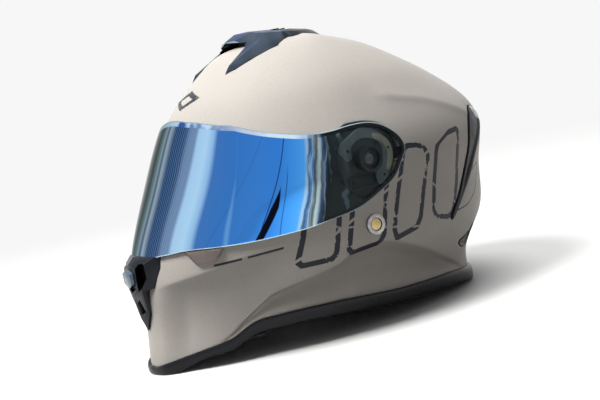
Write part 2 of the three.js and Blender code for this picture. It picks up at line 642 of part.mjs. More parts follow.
// Strap pad before it is leaned, front view: x, z.
const PAD_UNDERSIDE = [[90, 44.2], [84, 41.2], [62, 37.2], [50, 36.2]];
const PAD_TOPSIDE = [[88, 45.2], [62, 42], [50, 41]];

// A strap bent in the xz plane.
function webbing(line) {
  const upper = [];
  const lower = [];
  line.forEach(([x, z], i) => {
    const last = line[Math.max(0, i - 1)];
    const next = line[Math.min(line.length - 1, i + 1)];
    const along = new THREE.Vector2(next[0] - last[0], next[1] - last[1]).normalize();
    upper.push([z + (along.x * STRAP_T) / 2, x - (along.y * STRAP_T) / 2]);
    lower.push([z - (along.x * STRAP_T) / 2, x + (along.y * STRAP_T) / 2]);
  });
  return prismShape("y", band(upper, lower), ...STRAP_Y);
}
function leaned(geometry) {
  const position = geometry.attributes.position;
  for (let i = 0; i < position.count; i++) {
    const drop = Math.min(position.getZ(i), LEAN_Z) - LEAN_Z;
    position.setY(i, position.getY(i) + LEAN * drop);
  }
  return solid(geometry);
}
function strapAnchor() {
  return join(rivetDisc(9, 110.4, 112.2, 28), block([110.4, 112.2], [-15, 2.6], [88, 98]));
}
function strapPad() {
  return leaned(
    hullShape([PAD_UNDERSIDE, PAD_TOPSIDE].flatMap((points) => repeatedAt([-18, 6], points))),
  );
}
const underChin = groupAt([0, LEAN * (BUCKLE_Z - LEAN_Z), 0]); // carries the buckle forward
const strapHole = rivetDisc(2.6, 60, 200, 16);
const rightStrapLine = [
  ...STRAP_LINE.slice(0, 7).map(([x, z]) => [-x, z]), [-40, BUCKLE_Z], [-6, BUCKLE_Z],
];
place("chin_strap_left", cut(leaned(webbing(STRAP_LINE)), strapHole), "webbing");
place("chin_strap_right", cut(leaned(webbing(rightStrapLine)), mirrored(strapHole)), "webbing");
pair("strap_anchor", strapAnchor(), "steel");
pair("strap_pad", strapPad(), "cloth");

// ---------------------------------------------------------------- micrometric buckle
// A frame on the left strap, a toothed tongue on the right strap that slides into it, and a
// lever that pawls the teeth.
const FRAME_Y = [-19, 7];
const FRAME_X = [8, 46];
const LEVER_Y = [-16.9, 4.9];
const LEVER_PIVOT = [13, -6, 36.2];
const LEVER_AXIS = [LEVER_PIVOT[2], LEVER_PIVOT[0]]; // z, x
const LEVER_SIDE = [ // z, x
  [34.5, 11.2], [36.2, 10.4], [38, 11], [39, 13], [38.6, 30], [37.6, 33], [36.6, 33],
  [36.4, 16], [35, 15.4],
];
const TEETH = { count: 8, first: 12, pitch: 3, length: 2.2, top: 33.5, root: 32.7 };

function buckleFrame() {
  const channel = join(
    block(FRAME_X, FRAME_Y, [28.6, 30.4]),
    block(FRAME_X, [-19, -17.3], [28.6, 38]),
    block(FRAME_X, [5.3, 7], [28.6, 38]),
  );
  const window = block([30, 44], [-12, 0], [20, 50]);
  const endBar = block([40, 46], FRAME_Y, [28.6, 31.1]);
  return join(cut(channel, window), endBar);
}
function ratchetTongue() {
  const { count, first, pitch, length, top, root: rootZ } = TEETH;
  const notches = Array.from({ length: count }, (_, i) => {
    const x = first + i * pitch;
    return prism("y", [[top, x], [top, x + length], [rootZ, x]], -20, 20);
  });
  return cut(block([0, 38], [-12.5, 0.5], [31.9, 33.4]), ...notches);
}
function buckleLever() {
  return cut(prism("y", LEVER_SIDE, ...LEVER_Y), disc("y", LEVER_AXIS, 1.25, -40, 40, 20));
}
place("buckle_frame", buckleFrame(), "steel", underChin);
place("ratchet_tongue", ratchetTongue(), "mech", groupAt([0, 0, 0], underChin));
place("buckle_lever", buckleLever(), "red", groupAt(LEVER_PIVOT, underChin), LEVER_PIVOT);
place("buckle_pin", disc("y", LEVER_AXIS, 0.95, ...LEVER_Y, 16), "steel", underChin);

export default root;
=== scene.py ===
"""Full-face motorcycle helmet: painted shell, mirrored visor, vents, trim, liners and strap.

The helmet stands upright: +Z is up, the face looks along -Y and the wearer's left is +X.
Shapes are worked out in millimetres and turned into metres as each mesh is made.
"""
import math

import bmesh
import bpy
import numpy as np
from mathutils import Matrix


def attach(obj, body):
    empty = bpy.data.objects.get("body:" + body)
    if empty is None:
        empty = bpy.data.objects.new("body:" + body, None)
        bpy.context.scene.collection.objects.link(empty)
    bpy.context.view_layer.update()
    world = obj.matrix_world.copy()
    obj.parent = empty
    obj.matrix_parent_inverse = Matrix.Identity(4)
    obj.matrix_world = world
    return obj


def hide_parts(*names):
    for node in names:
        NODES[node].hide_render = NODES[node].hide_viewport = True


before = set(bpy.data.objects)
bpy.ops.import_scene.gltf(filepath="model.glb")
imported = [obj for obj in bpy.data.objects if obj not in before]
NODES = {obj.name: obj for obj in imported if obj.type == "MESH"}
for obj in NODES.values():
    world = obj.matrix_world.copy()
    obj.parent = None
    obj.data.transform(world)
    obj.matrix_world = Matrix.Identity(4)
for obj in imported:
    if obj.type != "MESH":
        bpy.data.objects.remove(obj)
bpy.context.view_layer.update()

MM = 0.001
Y_SHIFT = 0.4  # added to y when a shape goes from the helmet's frame to the scene, mm
SIDES = ((1, "left"), (-1, "right"))
scene = bpy.context.scene
collection = scene.collection

# ---------------------------------------------------------------- driving sizes, mm
SHELL_WALL = 4.0
CUT_ROUND = 0.75  # width of the rounded edge round every cut in the shell
PIVOT_Y, PIVOT_Z = 0.4, 141.0
POCKET_RADIUS = 34.0  # recess in the shell round the visor pivot
POCKET_GAP = 0.9  # between the visor outline and the pocket edge
POCKET_FLOOR_X = 117.5
VISOR_THICK = 2.2
CROWN = (0, 4.0, 259.405)

# Shell sections: parameter s, z, front y, rear y, half width, y of the widest place,
# and the superellipse exponents of the front and rear halves.
SECTIONS = np.array([
    [0.0, 3.0, -175.079, 141.743, 98.967, -5.998, 1.8, 2.2],
    [0.046, 17.0, -174.02, 141.743, 99.503, -5.966, 1.8, 2.2],
    [0.092, 31.0, -171.806, 141.919, 105.229, -5.562, 1.8, 2.2],
    [0.146, 47.0, -170.969, 149.135, 113.783, -4.554, 1.798, 2.2],
    [0.206, 65.0, -171.346, 162.166, 121.249, -2.837, 1.813, 2.2],
    [0.278, 87.0, -167.987, 168.765, 124.298, -1.184, 1.874, 2.199],
    [0.358, 111.0, -157.74, 172.439, 126.586, -0.31, 1.953, 2.2],
    [0.446, 137.0, -143.186, 179.678, 130.244, 0.513, 2.007, 2.204],
    [0.534, 163.0, -129.151, 174.681, 125.624, 1.169, 2.038, 2.179],
    [0.616, 187.0, -116.507, 152.81, 114.261, 2.633, 2.056, 2.136],
    [0.695, 209.0, -101.687, 123.873, 100.793, 4.121, 2.055, 2.106],
    [0.766, 227.0, -83.268, 97.248, 84.188, 3.444, 2.026, 2.083],
    [0.825, 241.0, -65.979, 70.454, 68.162, 5.872, 2.001, 2.053],
    [0.871, 250.5, -51.501, 39.95, 53.335, 11.813, 1.998, 2.018],
    [0.947, 257.205, -19.098, 12.149, 22.208, 9.788, 2.0, 1.998],
    [1.0, 259.405, 4.002, 4.002, 0.0, 4.002, 2.0, 2.0],
])


# ---------------------------------------------------------------- shell surface
def spline(xs, ys):
    """Natural cubic spline through the points."""
    n = len(xs)
    bend, u = np.zeros(n), np.zeros(n)
    for i in range(1, n - 1):
        share = (xs[i] - xs[i - 1]) / (xs[i + 1] - xs[i - 1])
        p = share * bend[i - 1] + 2
        bend[i] = (share - 1) / p
        turn = ((ys[i + 1] - ys[i]) / (xs[i + 1] - xs[i])
                - (ys[i] - ys[i - 1]) / (xs[i] - xs[i - 1]))
        u[i] = (6 * turn / (xs[i + 1] - xs[i - 1]) - share * u[i - 1]) / p
    for i in range(n - 2, -1, -1):
        bend[i] = bend[i] * bend[i + 1] + u[i]

    def value(x):
        x = np.asarray(x, float)
        k = np.clip(np.searchsorted(xs, x, side="left") - 1, 0, n - 2)
        h = xs[k + 1] - xs[k]
        a, b = (xs[k + 1] - x) / h, (x - xs[k]) / h
        cubic = ((a**3 - a) * bend[k] + (b**3 - b) * bend[k + 1]) * h * h / 6
        return a * ys[k] + b * ys[k + 1] + cubic

    return value


z_at, front_at, rear_at, half_width_at, middle_at, front_power, rear_power = [
    spline(SECTIONS[:, 0], SECTIONS[:, i]) for i in range(1, 8)]
S_SAMPLES = np.linspace(0, 1, 4001)
Z_SAMPLES = z_at(S_SAMPLES)


def s_of_z(z):
    return np.interp(z, Z_SAMPLES, S_SAMPLES)


def plain_point(s, theta):
    """Point of the uncreased surface; theta is 0 at the front and grows towards +X."""
    c, si = np.cos(theta), np.sin(theta)
    power = np.where(c >= 0, front_power(s), rear_power(s))
    r = 1 / (np.abs(c) ** power + np.abs(si) ** power) ** (1 / power)
    t, middle = r * c, middle_at(s)
    y = np.where(c >= 0, middle - (middle - front_at(s)) * t, middle - (rear_at(s) - middle) * t)
    return np.stack([half_width_at(s) * r * si, y, z_at(s)], -1)


def plain_normal(s, theta):
    s0, s1 = np.clip(s - 0.004, 0, 0.999), np.clip(s + 0.004, 0, 0.999)
    around = plain_point(s, theta + 0.01) - plain_point(s, theta - 0.01)
    n = np.cross(around, plain_point(s1, theta) - plain_point(s0, theta))
    size = np.linalg.norm(n, axis=-1, keepdims=True)
    return np.where(size > 1e-9, n / np.maximum(size, 1e-9), np.array([0, 0, 1.0]))


def height_curve(points, sigma=1.6):
    """Height against degrees from the front, mm, with its corners blurred by sigma samples."""
    step = 0.5
    degrees = np.arange(-10, 191, step)
    z = np.interp(degrees, [p[0] for p in points], [p[1] for p in points])
    kernel = np.exp(-0.5 * (np.arange(-12, 12.5, step) / sigma) ** 2)
    z = np.convolve(np.pad(z, 24, mode="edge"), kernel / kernel.sum(), "valid")
    return lambda x: np.interp(x, degrees, z)


def smooth(a, b, x):
    t = np.clip((x - a) / (b - a), 0, 1)
    return t * t * (3 - 2 * t)


# Lines round the helmet, as (degrees from the front, z).
chin_crease = height_curve([
    (0, 70), (7.8, 72.5), (16.8, 75), (28.2, 78.7), (38.8, 83), (48.5, 87.3), (57.2, 89.7),
    (65.2, 90.3), (75, 91), (190, 91)])
side_crease = height_curve([
    (0, -20), (24, -6), (30, 5), (36.2, 18.4), (43, 25.6), (46.5, 33.4), (51.5, 42.3), (55, 48.3),
    (62.8, 54.3), (70.2, 59.1), (76.5, 64), (81, 72), (85, 74.5), (90.2, 73.1), (95.5, 68.2),
    (102, 60.3), (115, 43.5), (133.8, 22.6), (140, 14), (150, 5), (190, 0)], 1.2)
shell_edge = height_curve([
    (0, 5.9), (2.8, 4.9), (16.8, 10.4), (30.5, 15.3), (41.5, 19), (47.8, 26.8), (51.5, 29.8),
    (58.5, 30.4), (67.5, 31.6), (77.5, 31), (87, 28), (98.5, 24.4), (109, 22.6), (123.2, 20.2),
    (143, 14.7), (160, 11.5), (180, 10.5)])
trim_bottom = height_curve([
    (0, 0), (16, 0), (22, 4), (30, 9.2), (42.2, 11.6), (46.8, 17.2), (51.5, 22), (58.8, 22.6),
    (67.8, 22.6), (77.8, 20.2), (95.5, 14.1), (112.5, 11.6), (131, 7.6), (143.2, 3), (152, 0),
    (180, 0)])
rear_ridge = height_curve([
    (90, 193), (103.2, 186.7), (107.3, 183.2), (116.2, 176.9), (124.2, 167), (133.2, 154.6),
    (145, 140)])


def degrees_from_front(theta):
    return np.abs(np.degrees(np.arctan2(np.sin(theta), np.cos(theta))))


def relief(s, theta):
    """Height of the moulded creases over the plain surface, mm."""
    d = degrees_from_front(theta)
    z = z_at(s)
    # hollow under the chin crease: 8.5 deep, deepest 28 below the line
    u = np.clip(chin_crease(d) - z, 0, None) / 28
    out = -8.5 * u * np.exp(1 - u) * (1 - smooth(46, 78, d)) * smooth(9, 24, d)
    # hollow under the side crease, fading towards the shell's lower edge
    top, bottom = side_crease(d), shell_edge(d)
    span = np.maximum(top - bottom, 0.1)
    t = np.clip((top - z) / span, 0, 1.3)
    depth = np.clip(0.19 * (top - bottom), 0, 7.0)
    q = t / 0.3
    out = out - depth * q * np.exp(1 - q) * (1 - 0.75 * smooth(0.6, 1.05, t))
    # ridge 1.7 high on the upper rear, soft above and tight below
    above = z - rear_ridge(d)
    ridge_on = smooth(97, 105, d) * (1 - smooth(130, 140, d))
    fade = np.where(above > 0, np.exp(-np.abs(above) / 13), np.exp(-np.abs(above) / 5))
    return out + ridge_on * 1.7 * fade


# ---------------------------------------------------------------- outlines in side view, (y, z)
VISOR_OUTLINE = [
    [-210, 206.3], [-102.4, 206.3], [-97, 200.5], [-90.1, 192], [-76.9, 183.2], [-60.2, 176.3],
    [-43.9, 171.9], [-28.2, 170.6], [-11.1, 171.6], [4.4, 170.7], [17, 166.4], [27.2, 157.6],
    [32, 149.3], [31.9, 140.9], [25.3, 131.5], [16.9, 120.8], [-3.1, 110.7], [-21.5, 104.2],
    [-43.7, 101.2], [-66.3, 98.8], [-101.9, 98.2], [-126.6, 99.4], [-149, 101.0], [-210, 100.6]]
EYEPORT = [
    [-210, 194], [-104, 194], [-90, 180], [-74, 171], [-58, 164], [-45, 157], [-38.5, 146],
    [-38.5, 134], [-44, 121], [-56, 113.5], [-78, 110.5], [-105, 110], [-130, 111.5], [-210, 112]]
EXHAUST = [
    [139.3, 161], [158.6, 150], [157.7, 145.1], [134.3, 122], [119.1, 104.2], [97, 86],
    [78, 68.5], [76, 73], [92.5, 90], [105.6, 107.8], [115, 124], [119.6, 140.9], [128, 155]]
LOWER_VENT = [
    [90, 46.5], [100, 38.5], [112, 36], [124, 40], [128, 50], [121.5, 58], [112, 50], [101, 47.5]]
# Slanted painted bars on each side; the paint follows their outlines.
BARS = [
    [(-57.0, 128.0), (-65.1, 98.2), (-73.8, 69.8), (-44.1, 69.5), (-36.6, 97.6), (-30.0, 128.0)],
    [(-17.0, 128.0), (-24.5, 101.2), (-33.6, 69.5), (-0.8, 71.9), (12.4, 122.6), (15.2, 136.0)],
    [(31.9, 140.3), (8.6, 70.7), (37.8, 75.6), (58.3, 129.7), (55.1, 137.4), (48.3, 141.5),
     (36.7, 143.3)],
    [(69.6, 136.8), (85.5, 143.9), (103.0, 145.1), (98.0, 130.9), (91.9, 101.2), (79.8, 76.2),
     (72.5, 73.8), (58.4, 78.1), (56.2, 84.2)],
]
REAR_LOOP = [(84.5, 75.6), (104.6, 76.8), (121.6, 85.4), (137.3, 109.5), (116, 103)]


def rounded(outline, passes=2, share=0.25):
    """Cuts every corner of a closed outline, passes times."""
    p = np.array(outline, float)
    for _ in range(passes):
        q = np.roll(p, -1, 0)
        p = np.stack([p * (1 - share) + q * share, p * share + q * (1 - share)], 1).reshape(-1, 2)
    return p


def curve_through(outline, steps):
    """Closed Catmull-Rom curve through the points."""
    p = np.array(outline, float)
    a, b, c, d = np.roll(p, 1, 0), p, np.roll(p, -1, 0), np.roll(p, -2, 0)
    out = []
    for t in np.arange(steps) / steps:
        out.append(0.5 * (2 * b + (c - a) * t + (2 * a - 5 * b + 4 * c - d) * t * t
                          + (3 * b - a - 3 * c + d) * t**3))
    return np.stack(out, 1).reshape(-1, 2)


def depth_inside(outline, y, z):
    """Distance to the outline, positive inside."""
    p = np.array(outline, float)
    y, z = np.asarray(y, float), np.asarray(z, float)
    best, inside = np.full(y.shape, 1e9), np.zeros(y.shape, bool)
    for (ay, az), (by, bz) in zip(p, np.roll(p, -1, 0)):
        ey, ez = by - ay, bz - az
        t = np.clip(((y - ay) * ey + (z - az) * ez) / max(ey * ey + ez * ez, 1e-9), 0, 1)
        best = np.minimum(best, np.hypot(y - ay - t * ey, z - az - t * ez))
        rise = bz - az if bz != az else 1e-9
        inside ^= ((az > z) != (bz > z)) & (y < (by - ay) * (z - az) / rise + ay)
    return np.where(inside, best, -best)


visor_curve = curve_through(VISOR_OUTLINE, 5)
eyeport_curve = rounded(EYEPORT)
exhaust_curve = rounded(EXHAUST, 1, 0.2)
lower_vent_curve = rounded(LOWER_VENT)


def pivot_distance(y, z):
    return np.hypot(y - PIVOT_Y, z - PIVOT_Z)


def pocket_depth(y, z, grow=0.0):
    """Depth inside the pivot pocket: a disc cut short by the visor outline."""
    return np.minimum(POCKET_RADIUS + grow - pivot_distance(y, z),
                      depth_inside(visor_curve, y, z) + (POCKET_GAP + grow))


# ---------------------------------------------------------------- triangle tools
# Columns of a vertex row: point, normal, degrees from the front, height of the plain surface.
POINT, NORMAL, DEGREES, PLAIN_Z = slice(0, 3), slice(3, 6), 6, 7


def clip(verts, faces, f):
    """Keeps the part of a triangle mesh where f > 0; all columns are interpolated."""
    f = np.where(np.abs(f) < 1e-7, 1e-7, f)
    inside = f[faces] > 0
    count = inside.sum(1)
    kept, added = [faces[count == 3]], []
    total = len(verts)
    is_mixed = (count == 1) | (count == 2)
    mixed = faces[is_mixed]
    if len(mixed):
        edges = np.concatenate([mixed[:, [0, 1]], mixed[:, [1, 2]], mixed[:, [2, 0]]])
        edges = edges[(f[edges[:, 0]] > 0) != (f[edges[:, 1]] > 0)]
        codes = np.unique(edges.min(1).astype(np.int64) * total + edges.max(1))
        a, b = codes // total, codes % total
        t = (f[a] / (f[a] - f[b]))[:, None]
        added.append(verts[a] * (1 - t) + verts[b] * t)
        index = {int(c): total + i for i, c in enumerate(codes)}

        def cut(p, q):
            return index[int(min(p, q)) * total + int(max(p, q))]

        out = []
        for tri, flags in zip(mixed.tolist(), inside[is_mixed].tolist()):
            # start at the vertex that is alone on its side
            k = flags.index(sum(flags) == 1)
            lone, p, q = tri[k], tri[(k + 1) % 3], tri[(k + 2) % 3]
            if flags[k]:
                out.append([lone, cut(lone, p), cut(lone, q)])
            else:
                q_cut, p_cut = cut(q, lone), cut(lone, p)
                out += [[p, q, q_cut], [p, q_cut, p_cut]]
        kept.append(np.array(out))
    faces = np.concatenate(kept)
    verts = np.concatenate([verts] + added)
    used, faces = np.unique(faces, return_inverse=True)
    return verts[used], faces.reshape(-1, 3)


def open_edges(faces):
    edges = np.concatenate([faces[:, [0, 1]], faces[:, [1, 2]], faces[:, [2, 0]]])
    n = int(faces.max()) + 1
    forward = edges[:, 0].astype(np.int64) * n + edges[:, 1]
    backward = edges[:, 1].astype(np.int64) * n + edges[:, 0]
    return edges[~np.isin(forward, backward)]


def bridge(a, b, next_a, next_b):
    """Triangles between the edges a-b and next_a-next_b."""
    return [np.stack([b, a, next_a], 1), np.stack([b, next_a, next_b], 1)]


def unit(v):
    return v / np.maximum(np.linalg.norm(v, axis=1, keepdims=True), 1e-9)


def ring(out, sink):
    """A rim ring moved outward from the edge and sunk below the surface."""
    return lambda points, outward, normals: points + out * outward - sink * normals


def add_rim(verts, faces, rings):
    """Adds rings of faces to the open edges; each ring maps (points, outward, normals)."""
    edges = open_edges(faces)
    start, end = edges.T
    border = np.unique(edges)
    points, normals = verts[:, POINT], verts[:, NORMAL]
    across = np.cross(points[end] - points[start], normals[start])
    outward = np.zeros_like(points)
    np.add.at(outward, start, across)
    np.add.at(outward, end, across)
    # even out the outward direction along the edge
    for _ in range(2):
        near = np.zeros_like(outward)
        outward = unit(outward)
        np.add.at(near, start, outward[end])
        np.add.at(near, end, outward[start])
        outward = outward * 2 + near
    outward = unit(outward)
    all_verts, all_faces = [verts], [faces]
    current = np.arange(len(verts))
    total = len(verts)
    for place in rings:
        rows = verts[border].copy()
        rows[:, POINT] = place(points[border], outward[border], normals[border])
        all_verts.append(rows)
        following = current.copy()
        following[border] = total + np.arange(len(border))
        total += len(border)
        all_faces += bridge(current[start], current[end], following[start], following[end])
        current = following
    return np.concatenate(all_verts), np.concatenate(all_faces)


def register(ob, node, body="helmet"):
    if node:
        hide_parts(node)
    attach(ob, body)


def build(name, verts, faces, materials, node=None, sharp=40, face_materials=None,
          attributes=None, body="helmet"):
    """Mesh object from millimetres; node is the CAD piece it replaces."""
    me = bpy.data.meshes.new(name)
    points = np.array(verts[:, POINT], float)
    points[:, 1] += Y_SHIFT
    me.from_pydata((points * MM).tolist(), [], [list(map(int, face)) for face in faces])
    for key, values in (attributes or {}).items():
        layer = me.attributes.new(key, "FLOAT", "POINT")
        layer.data.foreach_set("value", np.asarray(values, np.float32))
    for material in materials:
        me.materials.append(material)
    if face_materials is not None:
        me.polygons.foreach_set("material_index", np.asarray(face_materials, np.int32))
    me.validate()
    ob = bpy.data.objects.new(name, me)
    collection.objects.link(ob)
    me.shade_smooth()
    me.set_sharp_from_angle(angle=math.radians(sharp))
    register(ob, node, body)


def grid_corners(row_count, column_count, close_rows=False, close_columns=False):
    """Corner indices of the cells: here, next column, next row, next row and column."""
    row, column = np.meshgrid(np.arange(row_count - (not close_rows)),
                              np.arange(column_count - (not close_columns)), indexing="ij")
    here, above = row * column_count, (row + 1) % row_count * column_count
    beside = (column + 1) % column_count
    return here + column, here + beside, above + column, above + beside


def surface_rows(z_low, z_high, step_low, step_high):
    """Values of s spaced by the length of the side profile; the step changes at z 150."""
    s = np.linspace(s_of_z(z_low), s_of_z(z_high), 3000)
    profile = np.stack([half_width_at(s), z_at(s)], -1)
    lengths = np.linalg.norm(np.diff(profile, axis=0), axis=1)
    length = np.concatenate([[0], np.cumsum(lengths)])
    density = np.where(z_at(s) < 150, 1 / step_low, 1 / step_high)
    length = np.concatenate([[0], np.cumsum(np.diff(length) * density[1:])])
    return np.interp(np.linspace(0, length[-1], int(length[-1]) + 1), length, s)


def surface_sheet(theta, s, closed=False, offset=0.0, creased=True):
    """Triangle grid on the shell surface."""
    t, s_grid = np.meshgrid(theta, s)
    normals = plain_normal(s_grid, t)
    lift = offset + (relief(s_grid, t) if creased else 0.0)
    points = plain_point(s_grid, t) + normals * np.asarray(lift)[..., None]
    extra = np.stack([degrees_from_front(t), z_at(s_grid)], -1)
    verts = np.concatenate([points, normals, extra], -1).reshape(-1, 8)
    a, b, c, d = grid_corners(len(s), len(theta), close_columns=closed)
    faces = [np.stack([a, b, d], -1).reshape(-1, 3), np.stack([a, d, c], -1).reshape(-1, 3)]
    return verts, np.concatenate(faces)


# ---------------------------------------------------------------- shader tools
def srgb(*channels):
    """Linear colour from 0-255 sRGB channels."""
    return tuple(((c / 255 + 0.055) / 1.055) ** 2.4 if c > 10 else c / 255 / 12.92
                 for c in channels) + (1.0,)


class Shader:
    """Node tree builder; a value may be a number, a colour or a socket."""

    def __init__(self, tree):
        self.tree = tree

    def node(self, kind, **settings):
        node = self.tree.nodes.new(kind)
        for key, value in settings.items():
            setattr(node, key, value)
        return node

    def feed(self, socket, value):
        if isinstance(value, (int, float, tuple)):
            socket.default_value = value
        else:
            self.tree.links.new(value, socket)

    def output(self, kind, inputs, out=0, **settings):
        """Makes a node, feeds its inputs {key: value} and returns one output."""
        node = self.node(kind, **settings)
        for key, value in inputs.items():
            self.feed(node.inputs[key], value)
        return node.outputs[out]

    def math(self, operation, *values):
        return self.output("ShaderNodeMath", dict(enumerate(values)), operation=operation)

    def add(self, a, b):
        return self.math("ADD", a, b)

    def sub(self, a, b):
        return self.math("SUBTRACT", a, b)

    def mul(self, a, b):
        return self.math("MULTIPLY", a, b)

    def absolute(self, a):
        return self.math("ABSOLUTE", a)

    def mix(self, factor, a, b):
        return self.output("ShaderNodeMix", {0: factor, 6: a, 7: b}, 2, data_type="RGBA")

    def mix_shader(self, factor, a, b):
        return self.output("ShaderNodeMixShader", {0: factor, 1: a, 2: b})

    def remap(self, value, source, to=(0.0, 1.0)):
        """Maps the range source onto the range to, clamped."""
        return self.output("ShaderNodeMapRange", dict(enumerate((value, *source, *to))))

    def ramp(self, factor, stops):
        """Colour ramp from (position, colour) stops."""
        node = self.node("ShaderNodeValToRGB")
        elements = node.color_ramp.elements
        while len(elements) > 1:
            elements.remove(elements[-1])
        elements[0].position, elements[0].color = stops[0]
        for position, color in stops[1:]:
            elements.new(position).color = color
        self.feed(node.inputs[0], factor)
        return node.outputs[0]

    def xyz(self, vector):
        return self.output_all("ShaderNodeSeparateXYZ", vector)

    def output_all(self, kind, value):
        node = self.node(kind)
        self.feed(node.inputs[0], value)
        return node.outputs


class Surface(Shader):
    """Material round one Principled BSDF."""

    def __init__(self, name, color, rough=0.5, metal=0.0):
        self.material = bpy.data.materials.new(name)
        self.material.use_nodes = True
        super().__init__(self.material.node_tree)
        self.bsdf = self.tree.nodes["Principled BSDF"]
        self.color = color
        self.object_coords = None
        self.set("Base Color", color)
        self.set("Roughness", rough)
        self.set("Metallic", metal)

    def set(self, name, value):
        self.feed(self.bsdf.inputs[name], value)

    def coords(self):
        if self.object_coords is None:
            self.object_coords = self.node("ShaderNodeTexCoord").outputs["Object"]
        return self.object_coords

    def noise(self, scale, detail=2.0, rough=0.5):
        return self.output("ShaderNodeTexNoise", {"Scale": scale, "Detail": detail,
                           "Roughness": rough, "Vector": self.coords()}, "Fac")

    def voronoi(self, scale, out):
        return self.output("ShaderNodeTexVoronoi", {"Scale": scale, "Vector": self.coords()}, out)

    def attribute(self, name):
        return self.node("ShaderNodeAttribute", attribute_name=name).outputs["Fac"]

    def even(self, value, to=(0.0, 1.0)):
        """Spreads the middle of a noise over the range to."""
        return self.remap(value, (0.3, 0.7), to)

    def mask(self, value, soft):
        """1 where value is positive, with an edge soft wide either side of zero."""
        return self.remap(value, (-soft, soft))

    def bump(self, height, strength, distance):
        self.set("Normal", self.output("ShaderNodeBump", {
            "Strength": strength, "Distance": distance, "Height": height}))

    def drift(self, scale, amount, detail=3.0):
        """Base colour drifts by the share amount with noise."""
        noise = self.noise(scale, detail)
        dark = tuple(x * (1 - amount) for x in self.color[:3]) + (1,)
        light = tuple(min(1, x * (1 + amount)) for x in self.color[:3]) + (1,)
        out = self.mix(self.even(noise), dark, light)
        self.set("Base Color", out)
        return out

    def vary_roughness(self, scale, low, high):
        self.set("Roughness", self.even(self.noise(scale, detail=4), to=(low, high)))


# ---------------------------------------------------------------- materials
def plain(name, color, rough=(0.35, 0.5), metal=0.0, drift=(60, 0.1), grain=(0.15, 1500),
          coat=0.0, specular=0.5):
    """Uniform finish. drift: noise scale and share; grain: bump strength and noise scale."""
    m = Surface(name, color, sum(rough) / 2, metal)
    m.set("Specular IOR Level", specular)
    m.drift(*drift)
    m.vary_roughness(drift[0] * 2, *rough)
    m.bump(m.noise(grain[1]), strength=grain[0], distance=0.0003)
    if coat:
        m.set("Coat Weight", coat)
        m.set("Coat Roughness", 0.12)
    return m.material


def woven(name, color, pitch, sheen=0.35, rough=0.9, depth=0.0004):
    """Cloth with crossed threads; pitch and depth in metres."""
    m = Surface(name, color, rough)
    ground = m.drift(scale=25, amount=0.18, detail=4)
    x, y, z = m.xyz(m.coords())
    k = 2 * math.pi / pitch
    warp = m.math("SINE", m.mul(m.add(x, y), k))
    weft = m.math("SINE", m.mul(m.sub(z, m.mul(x, 0.3)), k))
    height = m.mul(warp, weft)
    m.bump(m.add(height, m.noise(900)), strength=0.6, distance=depth)
    m.set("Sheen Weight", sheen)
    shade = tuple(c * 0.35 for c in color[:3]) + (1,)
    m.set("Base Color", m.mix(m.remap(height, (-1, 1), to=(0.0, 0.45)), ground, shade))
    return m.material


def satin_paint():
    """Grey-beige with fine grain and worn dark marks, placed by distance attributes, and a
    painted shade under the side crease.
    """
    m = Surface("satin_paint", (0.46, 0.43, 0.395, 1))
    c = m.mix(m.even(m.noise(9, detail=3)), (0.44, 0.411, 0.378, 1), (0.48, 0.449, 0.412, 1))
    # light and dark flakes
    cells = m.voronoi(1300, "Color")
    grain = m.output_all("ShaderNodeSeparateColor", cells)[0]
    c = m.mix(m.remap(grain, (0.0, 1.0), to=(0.0, 0.12)), c, (0.66, 0.61, 0.56, 1))
    c = m.mix(m.remap(grain, (0.0, 0.22), to=(0.12, 0.0)), c, (0.25, 0.225, 0.2, 1))
    # lines of half width 2.05 mm along the bar outlines, eaten away by two noises
    line = m.sub(2.05, m.absolute(m.attribute("bar")))
    coarse = m.noise(70, detail=5, rough=0.62)
    fine = m.noise(420, detail=3, rough=0.6)
    wear = m.add(m.mul(coarse, 0.75), m.mul(fine, 0.25))
    line = m.add(line, m.remap(wear, (0.33, 0.46), to=(-2.6, 0.2)))
    bars = m.mul(m.remap(line, (-0.1, 0.15)), m.mask(m.attribute("gap"), soft=0.15))
    lozenge = m.mask(m.attribute("mark"), soft=0.12)
    lozenge = m.mul(lozenge, m.remap(fine, (0.30, 0.38)))
    # rear loop of half width 0.6 mm and front dashes of half width 1 mm
    loop = m.mask(m.sub(0.6, m.absolute(m.attribute("bulge"))), soft=0.15)
    dashes = m.mul(m.mask(m.sub(1.0, m.absolute(m.attribute("dash"))), soft=0.12),
                   m.mask(m.attribute("dspan"), soft=0.2))
    ink = m.math("MAXIMUM", m.math("MAXIMUM", bars, lozenge), m.math("MAXIMUM", loop, dashes))
    # painted shade: the low attribute darkens the paint under the side crease
    c = m.mix(m.mul(m.attribute("low"), 0.4), c, (0.13, 0.115, 0.105, 1))
    m.set("Base Color", m.mix(ink, c, (0.012, 0.014, 0.024, 1)))
    # the marks are a little glossier and not metallic
    m.set("Roughness", m.sub(m.even(m.noise(500), to=(0.42, 0.52)), m.mul(ink, 0.12)))
    m.set("Metallic", m.sub(0.07, m.mul(ink, 0.07)))
    m.set("Specular IOR Level", 0.2)
    m.bump(grain, strength=0.12, distance=0.00006)
    return m.material
